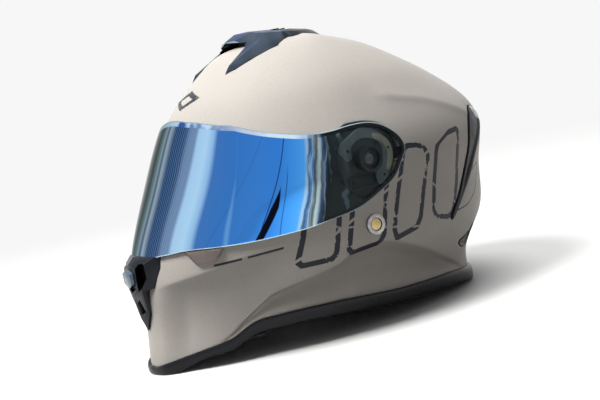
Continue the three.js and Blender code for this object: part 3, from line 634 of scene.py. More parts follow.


# Painted reflections round the visor: signed degrees from the front (positive towards +X), then
# sRGB.
REFLECTION_SPLIT = 20  # the table is shared by two ramps that meet here
REFLECTION_BANDS = [
    (-110, 24, 34, 36), (-74, 30, 44, 48), (-70, 58, 100, 140), (-64, 58, 136, 214),
    (-40, 54, 116, 190), (-31, 66, 122, 190), (-27, 150, 190, 224), (-23, 70, 100, 120),
    (-18, 46, 52, 38), (-13, 60, 66, 46), (-8, 42, 46, 38), (-5.5, 20, 24, 26),
    (-4.0, 86, 100, 98), (-2.0, 112, 128, 128), (0.0, 150, 170, 188), (2.0, 60, 78, 92),
    (4.0, 168, 184, 200), (6.0, 120, 138, 160), (8.0, 36, 68, 108), (12, 32, 68, 116),
    (15.5, 48, 76, 116), (17.5, 100, 130, 168), (20, 112, 138, 170), (21.5, 110, 140, 176),
    (23.2, 166, 204, 234), (28, 172, 212, 240), (31, 146, 188, 228), (33, 64, 116, 184),
    (41, 54, 116, 190), (50, 56, 122, 200), (57, 52, 122, 206), (62, 60, 140, 220),
    (65.6, 72, 150, 222), (66.6, 140, 178, 204), (68, 62, 106, 168), (69.5, 106, 122, 118),
    (70.8, 160, 178, 184), (72.2, 56, 86, 126), (73.4, 17, 25, 34), (76, 22, 34, 38)]


def painted_reflection_ramps(m, around, turn, height):
    """Painted reflection ramps round the visor, with fine painted reflection streaks near the
    front and at the sides.
    """
    lean = m.mul(height, m.remap(around, (3, 20), to=(0.0, 0.04)))
    wobble = m.mul(m.sub(m.noise(9), 0.5), 3.0)
    slant = m.add(m.sub(around, lean), wobble)
    signed = m.add(m.sub(turn, m.mul(lean, m.math("SIGN", turn))), wobble)
    low, high = -110, 110
    left = m.ramp(m.remap(signed, (low, REFLECTION_SPLIT)), [
        ((t[0] - low) / (REFLECTION_SPLIT - low), srgb(*t[1:])) for t in REFLECTION_BANDS if t[0] <= REFLECTION_SPLIT])
    right = m.ramp(m.remap(slant, (REFLECTION_SPLIT, high)), [
        ((t[0] - REFLECTION_SPLIT) / (high - REFLECTION_SPLIT), srgb(*t[1:]))
        for t in REFLECTION_BANDS if t[0] >= REFLECTION_SPLIT])
    c = m.mix(m.remap(signed, (19.9, 20.1)), left, right)
    # fine painted reflection streaks across the front, from -8 to 23 degrees
    fine = m.math("SINE", m.mul(m.add(signed, m.mul(m.noise(45, detail=4), 1.6)), 5.2))
    zone = m.mul(m.remap(signed, (-8, 0)), m.remap(signed, (23, 18), to=(0.0, 0.42)))
    c = m.mix(m.mul(m.remap(fine, (0.3, 1.0)), zone), c, srgb(150, 170, 196))
    # painted dark and light reflection ripples before the smoked end, from 65.5 to 74 degrees
    live = m.mul(m.remap(slant, (65.5, 67)), m.remap(slant, (74, 73)))
    warp = m.add(slant, m.mul(m.noise(26, detail=4), 6.0))
    ripple = m.math("SINE", m.mul(warp, 2.6))
    c = m.mix(m.mul(live, m.remap(ripple, (0.2, 0.8), to=(0.0, 0.65))), c, srgb(30, 46, 60))
    return m.mix(m.mul(live, m.remap(ripple, (-0.75, -0.97), to=(0.0, 0.55))), c,
                 srgb(150, 176, 186))


def painted_reflection_lines(m, c, around, height):
    """Painted reflections: thin upright lines and a wedge at the sides of the visor, then waves
    further back.
    """
    wedge = m.remap(height, (-1.5, -20), to=(-0.3, 1.3))
    glow = m.remap(height, (10, -25), to=(-0.2, 0.8))
    fade = m.remap(height, (12, 0), to=(0.0, 0.7))
    # degrees at the pivot height, degrees per mm up, the same per mm squared,
    # half width, edge softness, opacity (None is full), sRGB
    for start, slope, bend, half, soft, opacity, color in (
        (58.55, 0.032, -0.00248, wedge, 0.15, None, (9, 13, 24)),
        (57.1, 0.108, 0, 0.18, 0.12, 0.85, (14, 24, 44)),
        (44.6, 0.235, 0, 0.1, 0.12, 0.45, (26, 56, 104)),
        (42.7, 0.018, 0, glow, 0.5, 0.5, (120, 172, 226)),
        (60.4, 0.03, 0, 0.14, 0.12, fade, (12, 20, 40)),
    ):
        centre = m.add(m.mul(height, slope), start)
        if bend:
            centre = m.add(centre, m.mul(m.mul(height, height), bend))
        mask = m.mask(m.sub(half, m.absolute(m.sub(around, centre))), soft)
        if opacity is not None:
            mask = m.mul(mask, opacity)
        c = m.mix(mask, c, srgb(*color))
    wave = m.math("SINE", m.mul(m.add(around, m.mul(m.noise(55, detail=3), 8.0)), 1.15))
    zone = m.mul(m.remap(around, (74, 75)), m.remap(around, (84, 79), to=(0.0, 0.8)))
    return m.mix(m.mul(m.remap(wave, (0.35, 0.9)), zone), c, srgb(84, 108, 118))


def visor_edges_and_highlights(m, c, around, height, edge):
    """Painted highlight on the bevel along the top, dark border round the smoked end, painted
    highlight on the pale lip.
    """
    # painted highlight along the top bevel
    band = m.mul(m.remap(edge, (4.3, 3.8)),
                 m.mul(m.remap(height, (24, 28)), m.remap(around, (72, 64))))
    shine = m.mix(m.remap(m.noise(38), (0.47, 0.56)), srgb(196, 224, 246), srgb(64, 100, 168))
    shine = m.mix(m.remap(around, (30, 46), to=(0.0, 0.7)), shine, srgb(226, 238, 244))
    c = m.mix(band, c, shine)
    end = m.mul(m.remap(around, (70, 75)), m.remap(edge, (4.2, 3.2)))
    c = m.mix(end, c, srgb(8, 10, 12))
    # painted highlight on the pale lip within 1.1 mm of the outline
    return m.mix(m.remap(edge, (1.1, 0.6)), c, srgb(170, 190, 200))


def iridium_visor():
    """Blue mirror with painted reflections and highlights in its colour, whose rear ends are
    smoked and partly clear over the pivots.
    """
    m = Surface("iridium_visor", srgb(58, 125, 205), rough=0.05, metal=1.0)
    around = m.attribute("around")  # degrees from the front
    turn = m.attribute("turn")  # the same, signed
    height = m.attribute("height")  # mm above the pivot
    edge = m.attribute("edge")  # mm in from the outline
    # base colour: painted reflections, then painted edge highlights and the dark border
    c = painted_reflection_ramps(m, around, turn, height)
    c = painted_reflection_lines(m, c, around, height)
    m.set("Base Color", visor_edges_and_highlights(m, c, around, height, edge))
    m.set("Metallic", m.sub(1.0, m.mul(m.remap(around, (69, 75)), 0.9)))
    m.set("Specular IOR Level", 0.3)
    m.set("Specular Tint", (0.45, 0.5, 0.5, 1))
    clear = m.mul(m.attribute("recess"), m.remap(edge, (3.2, 4.4)))
    m.set("Alpha", m.sub(1.0, m.mul(clear, 0.76)))
    m.set("Roughness", m.even(m.noise(30, detail=3), to=(0.035, 0.075)))
    m.bump(m.noise(18), strength=0.05, distance=0.0006)
    return m.material


def vent_slate():
    """Top vent: slate, with a blue front roof, a painted highlight on the front lip and a dark
    rear.
    """
    m = Surface("vent_slate", srgb(34, 44, 56), rough=0.36)
    m.set("Specular IOR Level", 0.35)
    _, y, z = m.xyz(m.coords())
    _, normal_y, normal_z = m.xyz(m.node("ShaderNodeNewGeometry").outputs["True Normal"])
    c = m.mix(m.even(m.noise(60, detail=3)), srgb(28, 38, 50), srgb(44, 56, 70))
    roof = m.mul(m.remap(normal_z, (0.80, 0.92)), m.remap(y, (0.0, -0.008)))
    c = m.mix(roof, c, srgb(26, 44, 84))
    # painted highlight along the front lip, on forward-facing faces
    lip = m.mul(m.remap(normal_y, (-0.55, -0.75)), m.remap(z, (0.2575, 0.2585)))
    c = m.mix(lip, c, srgb(132, 152, 164))
    m.set("Base Color", m.mix(m.remap(y, (0.0005, 0.0035)), c, srgb(15, 16, 19)))
    m.vary_roughness(140, 0.3, 0.5)
    m.bump(m.noise(1100, detail=3), strength=0.3, distance=0.0003)
    return m.material


def eps_foam():
    m = Surface("eps_foam", srgb(52, 53, 56), rough=0.9)
    m.drift(scale=30, amount=0.15)
    m.bump(m.voronoi(350, "Distance"), strength=0.6, distance=0.0006)
    return m.material


def tab_resin():
    m = Surface("tab_resin", srgb(128, 116, 110), rough=0.18)
    m.drift(scale=60, amount=0.12)
    m.vary_roughness(90, 0.14, 0.24)
    m.set("Alpha", 0.82)
    return m.material


PAINT = satin_paint()
VISOR = iridium_visor()
RAW = plain("raw_composite", (0.06, 0.058, 0.055, 1), rough=(0.6, 0.8), drift=(80, 0.3),
            grain=(0.4, 900))
POCKET = plain("pocket_black", srgb(34, 40, 44), rough=(0.45, 0.6))
BLACK = plain("vent_black", srgb(11, 13, 18), rough=(0.34, 0.46), drift=(90, 0.2),
              grain=(0.15, 2200), specular=0.12)
SLATE = vent_slate()
NAVY = plain("vent_navy", srgb(12, 16, 25), rough=(0.26, 0.36), drift=(60, 0.15),
             grain=(0.12, 1800), specular=0.2)
RUBBER = plain("trim_rubber", srgb(12, 15, 21), rough=(0.26, 0.36), drift=(50, 0.2),
               grain=(0.2, 1600), specular=0.22)
FOAM = eps_foam()
BRUSHED = woven("brushed_lining", srgb(44, 45, 50), pitch=0.0016)
NET = woven("mesh_lining", srgb(34, 35, 40), pitch=0.0030, sheen=0.25, rough=0.85, depth=0.0008)
TEAL = plain("plate_teal", srgb(160, 184, 190), rough=(0.3, 0.45), drift=(120, 0.15),
             grain=(0.2, 1400))
WEBBING = woven("webbing", srgb(22, 22, 26), pitch=0.0014, sheen=0.2, rough=0.75)
STEEL = plain("bright_steel", (0.5, 0.5, 0.5, 1), rough=(0.2, 0.36), metal=1.0,
              drift=(120, 0.12), grain=(0.1, 1200))
DARK_STEEL = plain("dark_steel", (0.14, 0.145, 0.15, 1), rough=(0.3, 0.45), metal=1.0,
                   drift=(120, 0.12), grain=(0.1, 1200))
# painted shade: near-black, no-specular finish for the walls of cut hollows
SHADE_BLACK = plain("painted_shade_black", (0.002, 0.002, 0.002, 1), rough=(0.8, 0.9), drift=(60, 0.2),
             grain=(0.1, 900), specular=0.0)
RIVET = plain("rivet_ring", (0.27, 0.27, 0.27, 1), rough=(0.22, 0.4), metal=1.0,
              drift=(300, 0.3), grain=(0.3, 900))
BRASS = plain("rivet_brass", srgb(170, 150, 104), rough=(0.22, 0.36), metal=1.0,
              drift=(200, 0.15), grain=(0.35, 700))
MECHANISM = plain("mechanism", srgb(54, 66, 68), drift=(120, 0.15), grain=(0.2, 1400))
PALE = plain("plate_pale", srgb(236, 242, 214), rough=(0.4, 0.55), drift=(120, 0.12),
             grain=(0.2, 1400))
RED = plain("lever_red", srgb(150, 32, 30))
SMOKED = plain("smoked_cap", srgb(150, 158, 162), rough=(0.08, 0.16), metal=0.3,
               grain=(0.05, 600), coat=0.6)
BUTTON = plain("vent_light", srgb(78, 94, 114), rough=(0.22, 0.32), metal=0.3,
               grain=(0.05, 1500), coat=0.2)
RESIN = tab_resin()

# ---------------------------------------------------------------- outer shell
THETA = np.linspace(0, 2 * np.pi, 421)[:-1] - np.pi


def cut_openings(verts, faces, pocket_grow=0.0):
    """Cuts the eyeport, pivot pockets, rear vents and lower edge, short by the edge rounding."""
    y, z = verts[:, 1], verts[:, 2]
    verts, faces = clip(verts, faces, -(depth_inside(eyeport_curve, y, z) + CUT_ROUND))
    x, y, z = verts[:, POINT].T
    hole = np.where(np.abs(x) > 80, pocket_depth(y, z, pocket_grow), -9) + CUT_ROUND
    verts, faces = clip(verts, faces, -hole)
    for curve in (exhaust_curve, lower_vent_curve):
        x, y = verts[:, 0], verts[:, 1]
        depth = depth_inside(curve, y, verts[:, PLAIN_Z])
        hole = np.where((np.abs(x) > 10) & (y > 60), depth, -9) + 0.35 + CUT_ROUND
        verts, faces = clip(verts, faces, -hole)
    above = verts[:, PLAIN_Z] - shell_edge(verts[:, DEGREES]) - 0.5 - CUT_ROUND
    return clip(verts, faces, above)


def shell_wall(points, outward, normals):
    """Last rim ring: through the wall, or down to the flat pocket floor at the pivots."""
    through = ring(CUT_ROUND, SHELL_WALL)(points, outward, normals)
    at_pocket = ((pivot_distance(points[:, 1], points[:, 2]) < 37)
                 & (np.abs(points[:, 0]) > 100) & (points[:, 1] > -36))
    to_floor = points + CUT_ROUND * outward
    to_floor[:, 0] = np.sign(points[:, 0]) * POCKET_FLOOR_X
    return np.where(at_pocket[:, None], to_floor, through)


def painted_skin():
    s = surface_rows(4.0, 259.36, 1.7, 2.4)
    verts, faces = surface_sheet(THETA, s, closed=True)
    # close the crown
    last = (len(s) - 1) * len(THETA) + np.arange(len(THETA))
    tip = np.full(len(THETA), len(verts))
    verts = np.concatenate([verts, [[*CROWN, 0, 0, 1, 90, CROWN[2]]]])
    faces = np.concatenate([faces, np.stack([last, np.roll(last, -1), tip], 1)])
    verts, faces = cut_openings(verts, faces)
    return add_rim(verts, faces, [ring(0.45, 0.12), ring(CUT_ROUND, 0.6), shell_wall])


def inner_skin():
    theta = np.linspace(0, 2 * np.pi, 121)[:-1] - np.pi
    verts, faces = surface_sheet(theta, surface_rows(4.0, 258.5, 5, 6), True, -SHELL_WALL)
    verts, faces = cut_openings(verts, faces, pocket_grow=3.0)
    return verts, faces[:, ::-1]


def pocket_floor(side):
    """Flat fan that fills the pocket outline."""
    count = 96
    angles = np.linspace(0, 2 * np.pi, count + 1)[:-1]
    radii = np.full(count, POCKET_RADIUS)
    for i, angle in enumerate(angles):
        r = np.arange(10, POCKET_RADIUS + 0.01, 0.25)
        depth = pocket_depth(PIVOT_Y + r * np.cos(angle), PIVOT_Z + r * np.sin(angle))
        outside = np.where(depth < 0)[0]
        if len(outside):
            radii[i] = r[outside[0]]
    verts = np.zeros((count + 1, 8))
    verts[:, 0] = POCKET_FLOOR_X * side
    verts[:, 1] = np.append(PIVOT_Y + radii * np.cos(angles), PIVOT_Y)
    verts[:, 2] = np.append(PIVOT_Z + radii * np.sin(angles), PIVOT_Z)
    verts[:, 3] = side
    k = np.arange(count)
    fan = np.stack([k, (k + 1) % count, np.full(count, count)], 1)
    return verts, fan[:, ::-1] if side < 0 else fan


def paint_fields(verts):
    """Attributes that place the paint marks and the painted shade: {name: (values, value off the
    painted skin)}.
    """
    x, y, z = verts[:, POINT].T
    d, plain_z = verts[:, DEGREES], verts[:, PLAIN_Z]
    bar = np.full(len(verts), -50.0)
    for outline in BARS:
        bar = np.maximum(bar, depth_inside(rounded(outline, 1, 0.12), y, z))
    bar = np.where((d > 45) & (d < 140), bar, -50)
    # the bars break where three slanted bands cross them
    gap = np.minimum(np.abs(z - 0.45 * y - 107.5) - 1.2, np.abs(z + 0.9 * y - 160) - 1.5)
    gap = np.minimum(gap, np.abs(z + 0.25 * y - 84) - 1.0)
    # open lozenge on the brow, centred at z 219
    outer = (1 - (np.abs(x) / 25 + np.abs(z - 219) / 7.5)) * 5
    inner = (1 - (np.abs(x) / 14 + np.abs(z - 219) / 3.6)) * 5
    mark = np.where((z > 200) & (y < 0), np.minimum(outer, -inner), -5.0)
    # two dashes under the visor on each side
    dash = np.where((z < 112) & (d > 22) & (d < 80), z - (92.0 + 0.05 * y), 50.0)
    dash_span = np.maximum(np.minimum(y + 131, -112 - y), np.minimum(y + 108, -82 - y))
    loop = depth_inside(rounded(REAR_LOOP, 1, 0.15), y, z)
    loop = np.where((d > 92) & (y > 60), loop, -50.0)
    # painted shade: a darker band under the side crease
    top = side_crease(d)
    under = top - plain_z
    share = under / np.maximum(top - shell_edge(d), 1)
    low = (smooth(1.5, 9, under) * smooth(30, 42, d) * (1 - smooth(120, 140, d))
           * (1 - 0.55 * smooth(0.45, 0.95, share)))
    return {"bar": (bar, -50), "gap": (gap, 5), "mark": (mark, -5), "low": (low, 0),
            "bulge": (loop, -50), "dash": (dash, 50), "dspan": (dash_span, -5)}


def outer_shell():
    skin = painted_skin()
    parts = [(*skin, 0), (*inner_skin(), 1)]
    parts += [(*pocket_floor(side), 2) for side, _ in SIDES]
    verts = np.concatenate([part[0] for part in parts])
    starts = np.cumsum([0] + [len(part[0]) for part in parts])
    faces = np.concatenate([part[1] + start for part, start in zip(parts, starts)])
    indices = np.concatenate([np.full(len(part[1]), part[2]) for part in parts])
    fields = {
        name: np.concatenate([values, np.full(len(verts) - len(values), fill)])
        for name, (values, fill) in paint_fields(skin[0]).items()}
    build("shell_body", verts, faces, [PAINT, RAW, POCKET], "outer_shell",
          sharp=50, face_materials=indices, attributes=fields)


outer_shell()


# ---------------------------------------------------------------- rear strips and lower vents
def vent_sheet(side, angles, s, curve, inset):
    """Piece of the shell surface inside an outline, and its depth inside it."""
    theta = side * np.radians(np.linspace(*angles))
    verts, faces = surface_sheet(theta[::side], s)
    depth = depth_inside(curve, verts[:, 1], verts[:, PLAIN_Z])
    verts, faces = clip(verts, faces, depth - inset)
    return verts, faces, depth_inside(curve, verts[:, 1], verts[:, PLAIN_Z])


def exhaust_strip(side, name):
    """Long strip with a sunk middle and a smoked cap on its upper end."""
    rows = surface_rows(60, 170, 0.9, 0.9)
    verts, faces, depth = vent_sheet(side, (104, 168, 190), rows, exhaust_curve, 0.9)
    verts[:, POINT] += verts[:, NORMAL] * (1.1 - 1.5 * smooth(2.5, 6.0, depth))[:, None]
    above_cut = (verts[:, 1] * 0.62 + verts[:, PLAIN_Z] * 0.78) - 208.0
    indices = np.where(above_cut[faces].mean(1) > 0, 1, 0)
    verts, faces = add_rim(verts, faces, [ring(0.5, 0.25), ring(0.8, 1.0), ring(0.8, 4.0)])
    indices = np.concatenate([indices, np.zeros(len(faces) - len(indices))])
    build("exhaust_strip_" + name, verts, faces, [BLACK, SMOKED],
          "rear_exhaust_" + name, face_materials=indices)


def lower_vent(side, name):
    rows = surface_rows(30, 64, 0.8, 0.8)
    verts, faces, depth = vent_sheet(side, (112, 150, 80), rows, lower_vent_curve, 0.8)
    verts[:, POINT] += verts[:, NORMAL] * (0.2 - 1.8 * smooth(1.4, 2.6, depth))[:, None]
    verts, faces = add_rim(verts, faces, [ring(0.4, 0.2), ring(0.6, 3.0)])
    build("lower_vent_" + name, verts, faces, [BLACK], "rear_lower_vent_" + name)


for side, name in SIDES:
    exhaust_strip(side, name)
    lower_vent(side, name)


# ---------------------------------------------------------------- base trim
def base_trim():
    """Rounded rubber bead along the lower edge, with a lip inside the shell."""
    d = np.abs(np.degrees(THETA))
    top, bottom = shell_edge(d), trim_bottom(d)
    s_edge = np.maximum(s_of_z(top), 0.0)
    crease = relief(s_edge, THETA)
    # the creased shell edge sits a little off the plain one
    top = top + crease * plain_normal(np.maximum(s_edge, 0.03), THETA)[:, 2] + 1.2
    # profile: share of the height from bottom to top, distance out from the surface
    profile = [(1.0, -4.2), (1.0, -1.0)]
    for degrees in np.linspace(90, -90, 13):
        a = math.radians(degrees)
        profile.append((0.5 + 0.5 * np.sign(math.sin(a)) * abs(math.sin(a)) ** 0.8,
                        0.1 + 3.3 * abs(math.cos(a)) ** 0.62))
    profile += [(0.0, -1.6), (0.0, -6.2), (0.12, -7.0), (0.5, -7.2), (0.9, -7.0)]
    verts = []
    for share, out in profile:
        z = bottom + (top - bottom) * share
        s = s_of_z(np.maximum(z, 3.0))
        n = plain_normal(np.maximum(s, 0.03), THETA)
        n[:, 2] = 0
        n /= np.linalg.norm(n, axis=1, keepdims=True)
        points = plain_point(s, THETA) + n * (out + crease * 0.93)[:, None]
        points[:, 2] = z
        verts.append(points)
    a, b, c, d = grid_corners(len(profile), len(THETA), True, True)
    faces = [np.stack([a, c, d], -1).reshape(-1, 3), np.stack([a, d, b], -1).reshape(-1, 3)]
    build("edge_trim", np.concatenate(verts), np.concatenate(faces), [RUBBER],
          "base_trim", sharp=55)


base_trim()

# ---------------------------------------------------------------- visor
# Top edge of the visor: degrees from the front, z.
VISOR_TOP = np.array([
    (0, 205.2), (4, 205.0), (8, 204.3), (14.8, 202.3), (22, 200.2), (28.5, 197.2), (34, 194.6),
    (38, 192.9), (46, 189.6), (120, 189.6)])


def visor_inset(verts):
    """Distance in from the edge of the visor."""
    d, z = verts[:, DEGREES], verts[:, 2]
    below_top = np.where(d > 60, 99.0, (np.interp(d, *VISOR_TOP.T) - z) * 0.92)
    return np.minimum(depth_inside(visor_curve, verts[:, 1], z), below_top)


def visor():
    theta = np.radians(np.linspace(-112, 112, 371))
    verts, faces = surface_sheet(theta, surface_rows(94, 208, 1.5, 1.9), creased=False)
    # the rear ends stand off a little more, clear of the shell when lifted
    stand_off = 3.7 + 0.5 * smooth(16, 27, verts[:, 1])
    verts[:, POINT] += verts[:, NORMAL] * stand_off[:, None]
    verts, faces = clip(verts, faces, visor_inset(verts) - 0.6)
    inset = visor_inset(verts)
    outer, outer_faces = add_rim(verts, faces, [
        ring(0.35, 0.12), ring(0.6, 0.55), ring(0.6, 1.75), ring(0.3, VISOR_THICK)])
    inner = verts.copy()
    inner[:, POINT] -= verts[:, NORMAL] * VISOR_THICK
    # join the last rim ring to the inner face
    start, end = open_edges(faces).T
    border = np.unique([start, end])
    first = len(outer)
    ring_index = np.zeros(len(verts), int)
    ring_index[border] = first - len(border) + np.arange(len(border))
    joint = bridge(ring_index[start], ring_index[end], start + first, end + first)
    faces = np.concatenate([outer_faces, faces[:, ::-1] + first, *joint])
    rim = np.zeros(first - len(verts))
    verts = np.concatenate([outer, inner])
    x, y, z = verts[:, POINT].T
    around = verts[:, DEGREES]
    over_pocket = smooth(34.5, 31.5, pivot_distance(y, z)) * (np.abs(x) > 90)
    build("visor_shield", verts, faces, [VISOR], "visor", sharp=50,
          body="visor_assembly", attributes={
              "around": around, "turn": around * np.clip(x / 2, -1, 1),
              "height": verts[:, PLAIN_Z] - PIVOT_Z,
              "edge": np.concatenate([inset, rim, inset]), "recess": over_pocket})


visor()


# ---------------------------------------------------------------- CAD pieces kept as they are
def add_weld(ob, name):
    ob.modifiers.new(name, "WELD").merge_threshold = 0.00002


def finish_piece(name, material, bevel, bevel_angle=28, flat_angle=3.0):
    """Gives a CAD piece a material, merged flats and a bevel in mm; angles in degrees."""
    ob = NODES[name]
    ob.data.materials.clear()
    ob.data.materials.append(material)
    add_weld(ob, "weld")
    planar = ob.modifiers.new("planar", "DECIMATE")
    planar.decimate_type = "DISSOLVE"
    planar.angle_limit = math.radians(flat_angle)
    if bevel:
        edge = ob.modifiers.new("bevel", "BEVEL")
        edge.width = bevel * MM
        edge.segments = 2
        edge.limit_method = "ANGLE"
        edge.angle_limit = math.radians(bevel_angle)
    ob.data.shade_smooth()
    ob.data.set_sharp_from_angle(angle=math.radians(35))


def add_cutter(target, name, mesh_name, modifier, points, faces, outside):
    """Cuts a hollow in the target whose walls take a black painted shade; without faces the
    cutter is the points' hull.
    """
    me = bpy.data.meshes.new(mesh_name)
    me.from_pydata((np.array(points) * MM).tolist(), [], faces)
    bm = bmesh.new()
    bm.from_mesh(me)
    if not faces:
        bmesh.ops.convex_hull(bm, input=bm.verts)
    bmesh.ops.recalc_face_normals(bm, faces=bm.faces)
    bm.to_mesh(me)
    bm.free()
    me.materials.append(outside)
    me.materials.append(SHADE_BLACK)
    me.polygons.foreach_set("material_index", [1] * len(me.polygons))
    ob = bpy.data.objects.new(name, me)
    collection.objects.link(ob)
    ob.hide_render = True
    ob.hide_viewport = True
    cut = NODES[target].modifiers.new(modifier, "BOOLEAN")
    cut.operation = "DIFFERENCE"
    cut.solver = "EXACT"
    cut.object = ob


def finish_cut_piece(name, material):
    finish_piece(name, material, 0.5, bevel_angle=12 if name == "top_vent_cowl" else 14,
                 flat_angle=1.0)
    # second slot: the black painted shade of the cut walls
    NODES[name].data.materials.append(SHADE_BLACK)


# Right-hand copies follow by mirroring x.
COWL_MOUTH = [
    (0, -75, 260.4), (27.2, -75, 256.8), (0, -20, 261.4), (26.5, -22, 257.4),
    (0, -75, 236), (29, -75, 236), (0, -20, 236), (27, -22, 236)]
CHIN_SLOT = [(14.5, 95.5), (25.5, 96.5), (22.5, 84), (17.5, 75.5), (12.5, 72.5), (12.2, 77)]
CHIN_SLOT_Y = (-200, -170.5)

for _, name in SIDES:
    for piece, material, bevel in (
        ("visor_base_plate_", MECHANISM, 0.3), ("visor_hub_", POCKET, 0.2),
        ("pivot_screw_", DARK_STEEL, 0.25), ("release_lever_", POCKET, 0.3),
        ("strap_rivet_ring_", RIVET, 0.5), ("strap_rivet_core_", BRASS, 0.5),
        ("strap_anchor_", STEEL, 0.2),
    ):
        finish_piece(piece + name, material, bevel)
finish_piece("visor_lift_tab", RESIN, 0.5)

add_weld(NODES["top_vent_cowl"], "weld0")
mouth = [(side * x, y + Y_SHIFT, z) for side, _ in SIDES for x, y, z in COWL_MOUTH]
add_cutter("top_vent_cowl", "mouth_cutter", "mouth_cutter", "mouth_cutter", mouth, [], SLATE)
finish_cut_piece("top_vent_cowl", SLATE)
finish_piece("top_vent_slider", BLACK, 0.4)

add_weld(NODES["chin_vent_frame"], "weld0")
for side, _ in SIDES:
    points = [(side * x, y, z) for y in CHIN_SLOT_Y for x, z in CHIN_SLOT]
    faces = [list(range(6)), list(range(11, 5, -1))]
    faces += [[k, k + 6, (k + 1) % 6 + 6, (k + 1) % 6] for k in range(6)]
    add_cutter("chin_vent_frame", "slot_cutter_%d" % side, "slot_cutter", "slot%d" % side,
               points, faces, NAVY)
finish_cut_piece("chin_vent_frame", NAVY)
for piece, material, bevel in (
    ("chin_vent_button", BUTTON, 0.5), ("chin_vent_mesh", STEEL, 0.0),
    ("eyeport_gasket", RUBBER, 0.4), ("breath_deflector", RUBBER, 0.3),
    ("buckle_frame", STEEL, 0.3), ("ratchet_tongue", BLACK, 0.12),
    ("buckle_lever", RED, 0.4), ("buckle_pin", STEEL, 0.15),
):
    finish_piece(piece, material, bevel)

# ---------------------------------------------------------------- relief on the pivot plates
# Outlines in (y, z): an open ring round the pivot and a crescent at its upper rear.
PLATE_RING = [
    (-9, 163), (-20, 158), (-24.5, 152), (-20, 146), (-17.4, 141.5), (-11, 143.5), (-12.5, 151),
    (-6, 157), (2, 158.5), (10, 156.5), (17, 151), (18.5, 143), (15, 134), (9, 129.6),
    (6.5, 124), (8, 116.5), (15.3, 119.6), (22, 127), (27, 137.5), (26, 149.6), (20.5, 158.1),
    (11.5, 164.5), (0.2, 167.5)]
CRESCENT = [
    (11.5, 160.5), (19.9, 157.2), (26.4, 149.9), (27.2, 139.6), (23.5, 130.5), (19.0, 127.0),
    (18.0, 129.5), (21.5, 136), (22.3, 144.5), (18.2, 152.0), (11.3, 155.6)]
# Round studs: centre y, centre z, radius, outer x.
STUDS = [(12.8, 151.5, 1.6, 121.2), (15.0, 124.5, 1.3, 121.2), (-14.5, 150.5, 1.5, 121.2),
         (23.2, 145.5, 1.1, 121.85)]


def slab(outline, x0, x1, chamfer):
    """Closed plate from x0 to x1 with a chamfered face at x1."""
    p = rounded(outline)
    turn = np.sum(p[:, 0] * np.roll(p[:, 1], -1) - np.roll(p[:, 0], -1) * p[:, 1])
    if turn < 0:
        p = p[::-1]
    e = np.roll(p, -1, 0) - np.roll(p, 1, 0)
    outward = np.stack([e[:, 1], -e[:, 0]], 1) / np.linalg.norm(e, axis=1, keepdims=True)
    n = len(p)
    verts = np.concatenate([
        np.c_[np.full(n, x0), p], np.c_[np.full(n, x1 - chamfer), p],
        np.c_[np.full(n, x1), p - outward * chamfer]])
    faces = [list(range(2 * n, 3 * n)), list(range(n - 1, -1, -1))]
    for k in range(2):
        faces += [[k * n + i, k * n + (i + 1) % n, (k + 1) * n + (i + 1) % n, (k + 1) * n + i]
                  for i in range(n)]
    return verts, faces


def plate_relief(side, name):
    # outline, inner x, outer x, chamfer, material index
    items = [(PLATE_RING, 120.42, 121.0, 0.25, 0), (CRESCENT, 120.9, 121.7, 0.3, 1)]
    for y, z, radius, x1 in STUDS:
        angles = np.linspace(0, 2 * np.pi, 13)[:-1]
        circle = [(y + radius * math.cos(a), z + radius * math.sin(a)) for a in angles]
        items.append((circle, 120.6, x1, 0.2, 2))
    all_verts, all_faces, indices, first = [], [], [], 0
    for *shape, index in items:
        verts, faces = slab(*shape)
        if side < 0:
            verts[:, 0] *= -1
            faces = [face[::-1] for face in faces]
        all_verts.append(verts)
        all_faces += [[i + first for i in face] for face in faces]
        indices += [index] * len(faces)
        first += len(verts)
    build("pivot_plate_relief_" + name, np.concatenate(all_verts), all_faces,
          [TEAL, PALE, POCKET], sharp=30, face_materials=indices)


for side, name in SIDES:
    plate_relief(side, name)


# ---------------------------------------------------------------- liners and padding
def read_vectors(items, key):
    values = np.zeros(len(items) * 3)
    items.foreach_get(key, values)
    return values.reshape(-1, 3)


def write_points(ob, points):
    ob.data.vertices.foreach_set("co", np.asarray(points, float).ravel())
    ob.data.update()


def remeshed(node, name, voxel, passes):
    """Even-voxel copy of a CAD piece, smoothed; returns it and its points in metres."""
    ob = bpy.data.objects.new(name, NODES[node].data.copy())
    collection.objects.link(ob)
    add_weld(ob, "w")
    remesh = ob.modifiers.new("r", "REMESH")
    remesh.mode = "VOXEL"
    remesh.voxel_size = voxel
    depsgraph = bpy.context.evaluated_depsgraph_get()
    me = bpy.data.meshes.new_from_object(ob.evaluated_get(depsgraph))
    ob.modifiers.clear()
    ob.data = me
    me.name = name
    points = read_vectors(me.vertices, "co")
    edges = np.zeros(len(me.edges) * 2, np.int32)
    me.edges.foreach_get("vertices", edges)
    start, end = edges.reshape(-1, 2).T
    degree = np.bincount(edges, minlength=len(points))[:, None]
    for i in range(passes):
        total = np.zeros_like(points)
        np.add.at(total, start, points[end])
        np.add.at(total, end, points[start])
        # a push back after each smoothing step keeps the volume
        step = 0.6 if i % 2 == 0 else -0.3
        points = points + (total / np.maximum(degree, 1) - points) * step
    write_points(ob, points)
    me.shade_smooth()
    return ob, points


def dress(ob, material, node):
    ob.data.materials.clear()
    ob.data.materials.append(material)
    register(ob, node)


